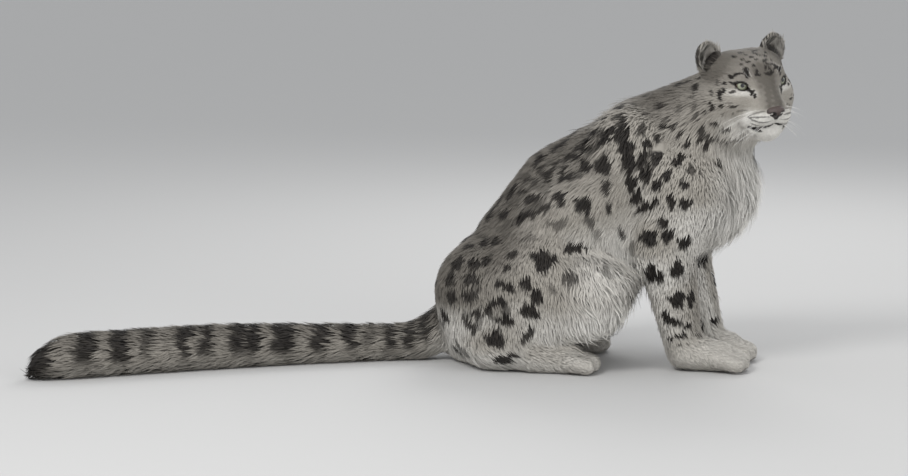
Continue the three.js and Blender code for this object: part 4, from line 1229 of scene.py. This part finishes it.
def spine_of_tuft(data, room, draws):
    """Three points of each tuft, its axes and its half width."""
    p, n, w = data[:, PLACE], unit(data[:, NORMAL]), data[:, SHARES]
    q = to_head(p)
    way = data[:, LIE]
    way = unit(way - (way * n).sum(1, keepdims=True) * n)
    swing = np.radians(13 * wave(p, 70, 21) + 9 * wave(p, 26, 22) + draws.normal(0, 6, len(p)))
    small = 1 - 0.5 * w[:, HEAD]
    swing = (swing * small)[:, None]
    way = way * np.cos(swing) + np.cross(n, way) * np.sin(swing)
    loose = loose_share(p, w, q)
    guard = draws.random(len(p)) < GUARD_SHARE * loose
    reach = data[:, HAIR] * draws.uniform(0.72, 1.12, len(p))
    reach = reach * np.where(guard, draws.uniform(1.2, 1.65, len(p)), 1)
    rise = STAND * draws.uniform(0.78, 1.1, len(p)) * np.where(guard, 1.25, 1) + 0.04 * wave(p, 34, 23)
    rise = np.where(data[:, CUP] > 0.5, 0.8, rise)
    on_ear = np.maximum(data[:, CUP], data[:, EAR_OUT])
    points = [p - n * np.minimum(1.2, 0.12 * reach)[:, None]]
    for s in (0.5, 1.0):
        high = rise * reach * (1 - (1 - s) ** 1.7)
        at = p + way * (reach * s * 0.94)[:, None] + n * high[:, None]
        off = np.clip(high - skin_field(at), -0.4 * reach, 0.4 * reach)
        off = off * (1 - on_ear) * (1 - 0.6 * w[:, HEAD])
        at = at + n * off[:, None]
        at[:, 2] = np.maximum(at[:, 2], 0.8 + 2.5 * draws.random(len(p)))
        points.append(at)
    half = np.minimum(0.37 * room, 0.11 * reach + 0.25) * draws.uniform(0.8, 1.2, len(p))
    return points, n, way, half


# %% [markdown]
# Every tuft gets its own small patch in a flat map of the skin, so that its colour can be baked when the
# model is exported. The map is drawn by wrapping each piece round its own axis: a leg by angle and height,
# the trunk by angle and distance along the back.
# %% Flat map of the roots
def unwrap(name, p):
    """Places in the flat map, from 0 to 1 both ways, of roots that belong to one piece."""
    if name.startswith("head"):
        q = to_head(p) - np.array([20, 0, -5])
        sweep = np.arctan2(np.abs(q[:, 1]), q[:, 0]) / math.pi
        return np.stack([sweep, 0.5 + np.arctan2(q[:, 2], np.hypot(q[:, 0], q[:, 1])) / math.pi], 1)
    if name == "tail":
        t = np.interp(-p[:, 0], -tail_line[:, 0], tail_ts)
        m = tail_point(t)
        return np.stack([t, 0.5 + np.arctan2(p[:, 1] - m[:, 1], p[:, 2] - m[:, 2]) / (2 * math.pi)], 1)
    if name == "neck" or name.startswith("trunk"):
        along = (p @ np.array([0.66, 0, 0.75]) + 80) / 860
        height = p @ np.array([-0.75, 0, 0.66])
        centre = np.interp(along, [0, 0.3, 0.55, 1.0], [30.0, 120, 30, -60])
        return np.stack([along, 0.5 + np.arctan2(p[:, 1], height - centre) / (2 * math.pi)], 1)
    legs = {"forelegs": (410, 74), "forepaws": (500, 63), "hindleg": (110, 105), "hindpaws": (190, 130)}
    x, y = next(v for k, v in legs.items() if name.startswith(k))
    left = p[:, 1] > 0
    angle = 0.5 + np.arctan2(np.abs(p[:, 1]) - y, p[:, 0] - x) / (2 * math.pi)
    return np.stack([angle * 0.49 + 0.51 * left, np.clip(p[:, 2] / 560, 0, 1)], 1)


PATCH = 0.003


def put_map(thing, name, root):
    """The map OFBake: one small patch for each tuft."""
    place = np.clip(unwrap(name, root), 0, 1) * 0.98 + 0.01
    spread = np.array([[1, 0], [0, 0], [0.5, 0.2], [1, 0.5], [0, 0.5], [0.5, 0.6], [0.5, 1]]) * PATCH
    per_vertex = (place[:, None] + spread[None]).reshape(-1, 2)
    vertex = np.empty(len(thing.data.loops), np.int32)
    thing.data.loops.foreach_get("vertex_index", vertex)
    layer = thing.data.uv_layers.new(name="OFBake")
    layer.data.foreach_set("uv", per_vertex[vertex].astype(np.float32).ravel())


# %% [markdown]
# With a spine and a width for each tuft, a whole piece is made in one go. The normals lean out from the
# skin's own, so that light falls softly over the coat as a whole and not hard on each blade.
# %% Growing one piece
RING_QUADS = np.array([[0, 2, 5, 3], [1, 4, 5, 2], [0, 3, 4, 1]])
TIP_TRIS = np.array([[3, 5, 6], [5, 4, 6], [4, 3, 6], [0, 1, 2]])
TUFT_VERTICES = 7
TUFT_TRIANGLES = 2 * len(RING_QUADS) + len(TIP_TRIS)


def grow(name, count, seed):
    """One piece of the coat as a mesh, with its numbers and its flat map."""
    draws = np.random.default_rng(seed)
    data, room = roots(name, count, draws)
    line, n, way, half = spine_of_tuft(data, room, draws)
    across = np.cross(n, way) * half[:, None]
    ridge = n * (0.5 * half)[:, None]
    rings = []
    for k, wide in ((0, 0.85), (1, 1.0)):
        rings += [line[k] + across * wide, line[k] - across * wide, line[k] + ridge * wide]
    verts = np.stack(rings + [line[2]], 1)
    first = (np.arange(count) * TUFT_VERTICES)[:, None, None]
    quads = (first + RING_QUADS).reshape(-1, 4)
    tris = (first + TIP_TRIS).reshape(-1, 3)
    thing = make_mesh("coat_" + name, verts.reshape(-1, 3), quads, tris)
    side = unit(across)
    tilt = n + way * draws.normal(0, 0.10, (count, 1)) + side * draws.normal(0, 0.10, (count, 1))
    lean = [tilt + side * 0.3, tilt - side * 0.3, tilt]
    shade = unit(np.stack(lean + lean + [tilt], 1).reshape(-1, 3))
    thing.data.normals_split_custom_set_from_vertices(shade)
    spot_at = data[:, PLACE] + way * (0.62 * data[:, HAIR])[:, None]
    colours = pattern(spot_at, n, data[:, SHARES], data[:, MARKS].T)
    for column, label in enumerate(("dark", "smoke", "white")):
        put_number(thing, label, np.repeat(colours[:, column], TUFT_VERTICES))
    put_number(thing, "vary", np.repeat(draws.random(count), TUFT_VERTICES))
    put_number(thing, "along", np.tile([0, 0, 0, 0.5, 0.5, 0.5, 1.0], count))
    put_map(thing, name, data[:, PLACE])
    return thing


FIRST_SEED = 40
coat = [grow(name, count, FIRST_SEED + k) for k, (name, count) in enumerate(COUNTS.items())]
print("coat:", sum(COUNTS.values()), "tufts,", sum(COUNTS.values()) * TUFT_TRIANGLES, "triangles")

# %% [markdown]
# The eyes are glass balls, as a taxidermist would set them: a pale grey-green iris round a small round
# pupil, under a clear cornea. They stay apart from the skin and fill the lids from behind. Each ball is
# turned so that its own z axis is the gaze, which the eye's finish then uses to draw rings about it.
# %% Eyes
SIDE_NAMES = {-1: "right", 1: "left"}
GAZE_UP = 10


def eye_ball(s):
    """A ball of rings and columns, with its cornea bulging round its own z axis."""
    rows, columns = 40, 64
    polar = np.linspace(0, math.pi, rows + 1)[1:-1]
    round_it = np.linspace(0, 2 * math.pi, columns, endpoint=False)
    a, b = np.meshgrid(polar, round_it, indexing="ij")
    ball = np.stack([np.sin(a) * np.cos(b), np.sin(a) * np.sin(b), np.cos(a)], -1).reshape(-1, 3)
    bulge = 1 + 0.055 * step(ball[:, 2:3], 0.74, 1.0)
    ball = np.vstack([ball * bulge, [[0, 0, 1.055], [0, 0, -1]]]) * EYE_RADIUS
    ring = np.arange(columns)
    after = (ring + 1) % columns
    starts = np.arange(rows - 2)[:, None] * columns
    quads = np.stack([starts + ring, starts + columns + ring, starts + columns + after, starts + after], -1)
    top, bottom = len(ball) - 2, len(ball) - 1
    last = (rows - 2) * columns
    tris = np.vstack([np.stack([np.full(columns, top), ring, after], 1),
                      np.stack([np.full(columns, bottom), last + after, last + ring], 1)])
    thing = make_mesh("glass_eye_" + SIDE_NAMES[s], ball, quads.reshape(-1, 4), tris)
    axes = HEAD_TURN @ eye_frame(s) @ turn("X", -GAZE_UP)
    at = from_head([EYE_AT[0], s * EYE_AT[1], EYE_AT[2]]) * 0.001
    thing.matrix_world = Matrix.LocRotScale(Vector(at), Matrix(axes).to_quaternion(), None)
    return thing


eyes = [eye_ball(s) for s in SIDES]
print("eye frames, 1 for right-handed:", [round(float(np.linalg.det(eye_frame(s))), 3) for s in SIDES])

# %% [markdown]
# The nose leather is a broad pad with two comma-shaped nostrils that open to the sides, and a groove
# down its middle that runs on into the upper lip. On the real animal it is bare, finely pebbled skin.
# %% Nose
def net_object(name, field, low, high, cell):
    """A mesh of a field given in the head's frame."""
    points, quads = net(field, low, high, cell)
    return make_mesh(name, from_head(points), quads)


upper_pad = lump([138.5, 0, -30], [14.6, 21, 12.0])
lower_pad = limb([139, 0, -36], [138, 0, -46], 8, 4.5, 1.2)
nostrils = []
for s in SIDES:
    hole = lump([151, 10.5 * s, -34], [10, 5.2, 4.2])
    slit = limb([149, 13 * s, -35], [137, 20.5 * s, -34], 3.0, 1.6)
    nostrils.append((hole, slit))


def nose_field(q):
    value = soft_min(upper_pad(q), lower_pad(q), 6)
    for hole, slit in nostrils:
        value = -soft_min(-value, soft_min(hole(q), slit(q), 2), 1.6)
    groove = np.exp(-(q[:, 1] / 1.3) ** 2) * (q[:, 0] > 140) * step(-q[:, 2], 22, 32)
    return value + 1.6 * groove


nose = net_object("nose", nose_field, [118, -26, -48], [158, 26, -12], 0.9)
nose_local = np.empty(len(nose.data.vertices) * 3, np.float32)
nose.data.vertices.foreach_get("co", nose_local)
nose_at = to_head(nose_local.reshape(-1, 3) * 1000.0)
nearest_hole = np.min([np.minimum(hole(nose_at), slit(nose_at)) for hole, slit in nostrils], axis=0)
# Painted shade: dark on the nostrils' walls and along the pad's lower edge; the pad's sides are darker as
# well.
painted_nose_shade = np.maximum(step(-nearest_hole, -3.4, -0.6), 0.9 * step(-nose_at[:, 2], 34, 39))
put_number(nose, "dark", np.maximum(painted_nose_shade, 0.5 * step(np.abs(nose_at[:, 1]), 15.5, 20)))
print("nose:", len(nose_at), "vertices")


# %% [markdown]
# Whiskers are stiff white hairs in four rows on each side of the muzzle, with a few more over the eyes.
# Each is a thin tapered tube with a slight droop.
# %% Whiskers
def whisker(root, way, reach, half, droop):
    """Vertices and faces of one four-sided tapered tube, in the head's frame."""
    share = np.linspace(0, 1, 9)[:, None]
    line = root + way * reach * share + np.array([-0.25, 0, -1]) * droop * share ** 2
    side = unit(np.cross(way, [0, 0, 1.0]))
    up = np.cross(side, way)
    radius = half * (1 - 0.85 * share)
    ring = np.stack([line + side * radius, line + up * radius, line - side * radius, line - up * radius], 1)
    k = np.arange(8)[:, None] * 4
    j = np.arange(4)[None]
    faces = np.stack([k + j, k + (j + 1) % 4, k + 4 + (j + 1) % 4, k + 4 + j], -1).reshape(-1, 4)
    ends = np.array([[3, 2, 1, 0], [32, 33, 34, 35]])
    return ring.reshape(-1, 3), np.vstack([faces, ends])


whisker_draws = np.random.default_rng(7)
whisker_points, whisker_faces, count_so_far = [], [], 0
for s in SIDES:
    plans = []
    for row, z in enumerate((-40, -46, -52, -58)):
        for k in range(3 + (row in (1, 2))):
            root = np.array([127 - 7.5 * k - 1.5 * row, s * (20 + 4.5 * k), z + 0.8 * k])
            reach = whisker_draws.uniform(38, 56) + 9 * k
            plans.append((root, [-0.05 - 0.22 * k, s, -0.2 - 0.14 * row], reach, 0.3, 9 + 3 * k))
    for k in range(2):
        plans.append((np.array([88 - 4 * k, s * (28 + 8 * k), 36]), [-0.3, 0.5 * s, 1.0], 26 + 4 * k, 0.2, 3))
    for root, way, reach, half, droop in plans:
        way = unit(np.array(way) + whisker_draws.normal(0, 0.05, 3))
        settled = root[None].astype(float)
        for _ in range(4):
            g = slope_of(head_field, from_head(settled))
            skin_gap = head_field(from_head(settled)) + 2.0
            settled = to_head(from_head(settled) - skin_gap[:, None] * g)
        ring_points, ring_faces = whisker(settled[0], way, reach, half, droop)
        whisker_points.append(from_head(ring_points))
        whisker_faces.append(ring_faces + count_so_far)
        count_so_far += len(ring_points)
whiskers = make_mesh("whiskers", np.vstack(whisker_points), np.vstack(whisker_faces))
print("whiskers:", len(whisker_points))

# %% [markdown]
# The finishes come next. A few helpers keep the node trees short: each adds one node, sets or links what
# goes into it and gives back what comes out.
# %% Node helpers
def new_group(name, inputs, outputs):
    tree = bpy.data.node_groups.new(name, "ShaderNodeTree")
    for label, kind in inputs:
        tree.interface.new_socket(name=label, in_out="INPUT", socket_type="NodeSocket" + kind)
    for label, kind in outputs:
        tree.interface.new_socket(name=label, in_out="OUTPUT", socket_type="NodeSocket" + kind)
    return tree, tree.nodes.new("NodeGroupInput"), tree.nodes.new("NodeGroupOutput")


def set_input(tree, socket, value):
    if isinstance(value, bpy.types.NodeSocket):
        tree.links.new(value, socket)
    elif isinstance(value, tuple) and len(value) == 3 and socket.type == "RGBA":
        socket.default_value = (*value, 1)
    else:
        socket.default_value = value


def mix_colour(tree, a, b, factor):
    node = tree.nodes.new("ShaderNodeMix")
    node.data_type = "RGBA"
    set_input(tree, node.inputs[0], factor)
    set_input(tree, node.inputs[6], a)
    set_input(tree, node.inputs[7], b)
    return node.outputs[2]


def calculate(tree, operation, *values):
    node = tree.nodes.new("ShaderNodeMath")
    node.operation = operation
    for socket, value in zip(node.inputs, values):
        set_input(tree, socket, value)
    return node.outputs[0]


def ramp_value(tree, value, low, high, out_low=0.0, out_high=1.0):
    node = tree.nodes.new("ShaderNodeMapRange")
    node.interpolation_type = "SMOOTHSTEP"
    for socket, number in zip(node.inputs, (value, low, high, out_low, out_high)):
        set_input(tree, socket, number)
    return node.outputs[0]


def stored(tree, name):
    node = tree.nodes.new("ShaderNodeAttribute")
    node.attribute_name = name
    return node.outputs["Fac"]


def noise(tree, scale, detail):
    node = tree.nodes.new("ShaderNodeTexNoise")
    node.inputs["Scale"].default_value = scale
    node.inputs["Detail"].default_value = detail
    return node


def add_relief(tree, shader, height, distance, strength, invert=False):
    """A bump of the given depth in metres, linked to the shader's normal."""
    node = tree.nodes.new("ShaderNodeBump")
    node.inputs["Distance"].default_value = distance
    node.inputs["Strength"].default_value = strength
    node.invert = invert
    tree.links.new(height, node.inputs["Height"])
    tree.links.new(node.outputs["Normal"], shader.inputs["Normal"])


# %% [markdown]
# All the fur, and the skin under it, shares one node group that turns the numbers stored on the mesh into
# a colour: a warm grey ground, smoke over it, white where the coat is palest and near-black on top, both
# for the spots and for the shade painted behind the ruff, in the ears' cups and under the brow.
# Hairs are darker towards their roots and no two tufts are quite alike.
# %% The fur's colour group
COLOURS = {
    "ground": (0.43, 0.40, 0.352), "smoke": (0.15, 0.136, 0.117), "white": (0.86, 0.835, 0.78),
    "spot": (0.016, 0.014, 0.013), "spot_tip": (0.05, 0.044, 0.038),
}
fur_tree, given, result = new_group(
    "fur colour", [(x, "Float") for x in ("Dark", "Smoke", "White", "Vary", "Along")],
    [("Color", "Color"), ("Roughness", "Float")])
ground = mix_colour(fur_tree, COLOURS["ground"], COLOURS["smoke"], given.outputs["Smoke"])
ground = mix_colour(fur_tree, ground, COLOURS["white"], given.outputs["White"])
deep = calculate(fur_tree, "MULTIPLY_ADD", given.outputs["Along"], 0.24, 0.78)
unlike = calculate(fur_tree, "MULTIPLY_ADD", given.outputs["Vary"], 0.16, 0.92)
shade_by = calculate(fur_tree, "MULTIPLY", deep, unlike)
shaded = fur_tree.nodes.new("ShaderNodeVectorMath")
shaded.operation = "SCALE"
fur_tree.links.new(ground, shaded.inputs[0])
fur_tree.links.new(shade_by, shaded.inputs["Scale"])
tip_share = calculate(fur_tree, "MULTIPLY", given.outputs["Along"], given.outputs["Vary"])
# The near-black is used for the spots and for painted shade alike.
spot_and_shade_colour = mix_colour(fur_tree, COLOURS["spot"], COLOURS["spot_tip"], tip_share)
coloured = mix_colour(fur_tree, shaded.outputs[0], spot_and_shade_colour, given.outputs["Dark"])
fur_tree.links.new(coloured, result.inputs["Color"])
fur_tree.links.new(ramp_value(fur_tree, given.outputs["Vary"], 0, 1, 0.55, 0.75), result.inputs["Roughness"])
print("fur colours:", ", ".join(COLOURS))


# %% [markdown]
# The tufts' finish has a weak sheen, because light catches along the sides of fine hairs. The skin below
# uses the same colours but is duller, so that a gap between tufts reads as depth. Where it is bare, on
# the lids and lips, it is smooth and slightly moist.
# %% Fur and skin finishes
def new_finish(name, viewport):
    made = bpy.data.materials.new(name)
    made.use_nodes = True
    made.diffuse_color = (*viewport, 1)
    return made, made.node_tree, made.node_tree.nodes["Principled BSDF"]


def fur_colour(tree, vary, along):
    node = tree.nodes.new("ShaderNodeGroup")
    node.node_tree = fur_tree
    for label in ("Dark", "Smoke", "White"):
        set_input(tree, node.inputs[label], stored(tree, label.lower()))
    set_input(tree, node.inputs["Vary"], vary)
    set_input(tree, node.inputs["Along"], along)
    return node


fur_finish, tree, shader = new_finish("fur", COLOURS["ground"])
fur_node = fur_colour(tree, stored(tree, "vary"), stored(tree, "along"))
tree.links.new(fur_node.outputs["Color"], shader.inputs["Base Color"])
tree.links.new(fur_node.outputs["Roughness"], shader.inputs["Roughness"])
shader.inputs["Specular IOR Level"].default_value = 0.14
shader.inputs["Sheen Weight"].default_value = 0.03
shader.inputs["Sheen Roughness"].default_value = 0.5

put_number(skin, "bare", bare)
skin_finish, tree, shader = new_finish("skin", COLOURS["smoke"])
grain = noise(tree, 420, 3)
skin_node = fur_colour(tree, grain.outputs["Fac"], 0.35)
tree.links.new(skin_node.outputs["Color"], shader.inputs["Base Color"])
tree.links.new(ramp_value(tree, stored(tree, "bare"), 0.4, 1.0, 0.85, 0.42), shader.inputs["Roughness"])
shader.inputs["Specular IOR Level"].default_value = 0.35
add_relief(tree, shader, grain.outputs["Fac"], 0.0006, 0.5)

whisker_finish, tree, shader = new_finish("whisker", (0.9, 0.88, 0.84))
shader.inputs["Base Color"].default_value = (0.88, 0.86, 0.82, 1)
shader.inputs["Roughness"].default_value = 0.35
print("finishes:", fur_finish.name, skin_finish.name, whisker_finish.name)

# %% [markdown]
# The iris is painted on the back of the glass: fine spokes, a darker outer ring and a black pupil. The
# clear cornea in front is a glossy coat. The white of the eye hardly shows on a cat, and what does is
# brown.
# %% Eye finish
IRIS_MM = 11.2
PUPIL_MM = 4.4
IRIS_DARK, IRIS_LIGHT = (0.17, 0.18, 0.12), (0.36, 0.37, 0.27)
RIM_COLOUR = (0.10, 0.09, 0.06)
WHITE_OF_EYE = (0.055, 0.035, 0.025)
PUPIL_COLOUR = (0.004, 0.004, 0.004)
eye_finish, tree, shader = new_finish("eye", (0.45, 0.48, 0.4))
own = tree.nodes.new("ShaderNodeTexCoord").outputs["Object"]
parts = tree.nodes.new("ShaderNodeSeparateXYZ")
tree.links.new(own, parts.inputs[0])
x_squared = calculate(tree, "MULTIPLY", parts.outputs[0], parts.outputs[0])
squared = calculate(tree, "MULTIPLY_ADD", parts.outputs[1], parts.outputs[1], x_squared)
outward = calculate(tree, "MULTIPLY", calculate(tree, "SQRT", squared), 1000.0)
spokes = noise(tree, 5.0, 4)
angle_at = tree.nodes.new("ShaderNodeCombineXYZ")
turned = calculate(tree, "ARCTAN2", parts.outputs[1], parts.outputs[0])
tree.links.new(calculate(tree, "MULTIPLY", calculate(tree, "COSINE", turned), 3.0), angle_at.inputs[0])
tree.links.new(calculate(tree, "MULTIPLY", calculate(tree, "SINE", turned), 3.0), angle_at.inputs[1])
tree.links.new(calculate(tree, "MULTIPLY", outward, 0.06), angle_at.inputs[2])
tree.links.new(angle_at.outputs[0], spokes.inputs["Vector"])
iris = mix_colour(tree, IRIS_DARK, IRIS_LIGHT, ramp_value(tree, spokes.outputs["Fac"], 0.35, 0.65))
iris = mix_colour(tree, iris, RIM_COLOUR, ramp_value(tree, outward, IRIS_MM - 2.6, IRIS_MM))
iris = mix_colour(tree, iris, WHITE_OF_EYE, ramp_value(tree, outward, IRIS_MM - 0.3, IRIS_MM + 0.5))
outside_pupil = ramp_value(tree, outward, PUPIL_MM - 0.35, PUPIL_MM + 0.35)
iris = mix_colour(tree, PUPIL_COLOUR, iris, outside_pupil)
facing = ramp_value(tree, parts.outputs[2], 0.0, 0.004)
tree.links.new(mix_colour(tree, WHITE_OF_EYE, iris, facing), shader.inputs["Base Color"])
shader.inputs["Roughness"].default_value = 0.25
shader.inputs["Coat Weight"].default_value = 1.0
shader.inputs["Coat Roughness"].default_value = 0.03
print("iris", 2 * IRIS_MM, "mm across, pupil", 2 * PUPIL_MM)

# %% [markdown]
# Nose leather is finely pebbled and a little moist. Shade is painted dark into the nostrils and along the
# pad's lower edge, and the sides of the pad are a little darker. A pattern of cells gives the pebbles, both
# in colour and in relief.
# %% Nose finish
nose_finish, tree, shader = new_finish("nose leather", (0.3, 0.2, 0.18))
pebbles = tree.nodes.new("ShaderNodeTexVoronoi")
pebbles.inputs["Scale"].default_value = 900
leather = mix_colour(tree, (0.085, 0.060, 0.053), (0.055, 0.038, 0.034), pebbles.outputs["Distance"])
# The stored dark is painted shade in the nostrils and along the pad's lower edge, with darker sides.
leather = mix_colour(tree, leather, (0.018, 0.013, 0.012), stored(tree, "dark"))
tree.links.new(leather, shader.inputs["Base Color"])
shader.inputs["Roughness"].default_value = 0.42
add_relief(tree, shader, pebbles.outputs["Distance"], 0.0004, 0.6, invert=True)
print("finishes:", eye_finish.name, "and", nose_finish.name)

# %% [markdown]
# Each piece now takes its finish, stands in for the solids that it covers and is fixed to the body, so
# that it moves with it. The model has one body and no joints: a mount like this is carried whole.
# %% Join to the frame
for thing in coat:
    thing.data.materials.append(fur_finish)
skin.data.materials.append(skin_finish)
whiskers.data.materials.append(whisker_finish)
nose.data.materials.append(nose_finish)
for thing in eyes:
    thing.data.materials.append(eye_finish)

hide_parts(*[n for n in frame["nodes"] if not n.startswith(("eye_", "nose_"))])
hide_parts("nose_pad")
for s, thing in zip(SIDES, eyes):
    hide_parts("eye_" + SIDE_NAMES[s])
for things, name in ((coat + [skin, whiskers], "coat"), (eyes, "eye"), ([nose], "nose")):
    for thing in things:
        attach(thing, BODY)
print("pieces on", BODY + ":", len(coat) + len(eyes) + len([skin, nose, whiskers]))

# %% [markdown]
# For the photograph we use a plain pale studio: a wide floor that fills the background, one large soft
# light high on the camera's left, a weaker one from the right and a third from behind to draw the
# outline of the fur.
# %% Studio
FLOOR_HALF = 60000.0
floor_corners = np.array([[-1, -1, 0], [1, -1, 0], [1, 1, 0], [-1, 1, 0]]) * FLOOR_HALF
floor = make_mesh("floor", floor_corners, np.array([[0, 1, 2, 3]]))
floor_finish, tree, shader = new_finish("floor", (0.6, 0.6, 0.6))
shader.inputs["Base Color"].default_value = (0.50, 0.495, 0.485, 1)
shader.inputs["Roughness"].default_value = 0.9
floor.data.materials.append(floor_finish)
floor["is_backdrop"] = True


def soft_light(name, at, toward, size, power):
    data = bpy.data.lights.new(name, "AREA")
    data.shape = "DISK"
    data.size = size
    data.energy = power
    thing = bpy.data.objects.new(name, data)
    bpy.context.scene.collection.objects.link(thing)
    thing.location = at
    thing.rotation_euler = (Vector(toward) - Vector(at)).to_track_quat("-Z", "Y").to_euler()
    return thing


soft_light("key", (-1.2, -3.0, 3.2), (0.2, 0, 0.35), 1.6, 100)
soft_light("fill", (2.9, -2.4, 1.5), (0.4, 0, 0.4), 2.2, 25)
soft_light("rim", (0.6, 2.6, 2.6), (0.2, 0, 0.4), 2.0, 40)
bpy.context.scene.view_settings.view_transform = "Standard"
world = bpy.data.worlds.new("studio")
bpy.context.scene.world = world
world.use_nodes = True
world.node_tree.nodes["Background"].inputs["Color"].default_value = (0.92, 0.94, 0.97, 1)
world.node_tree.nodes["Background"].inputs["Strength"].default_value = 0.78
print("studio lit by three soft lights and a pale sky")

# %% [markdown]
# Last, the size of the finished model is set beside the size of the solids, and the model's size is printed.
# Fur may stand a little beyond them, and not more.
# %% Sizes and finish
sizes = {"solids": [list(corner) for corner in cad_box], "model": [list(corner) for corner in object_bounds()]}
print("size of the model:", [[round(v, 3) for v in corner] for corner in sizes["model"]])
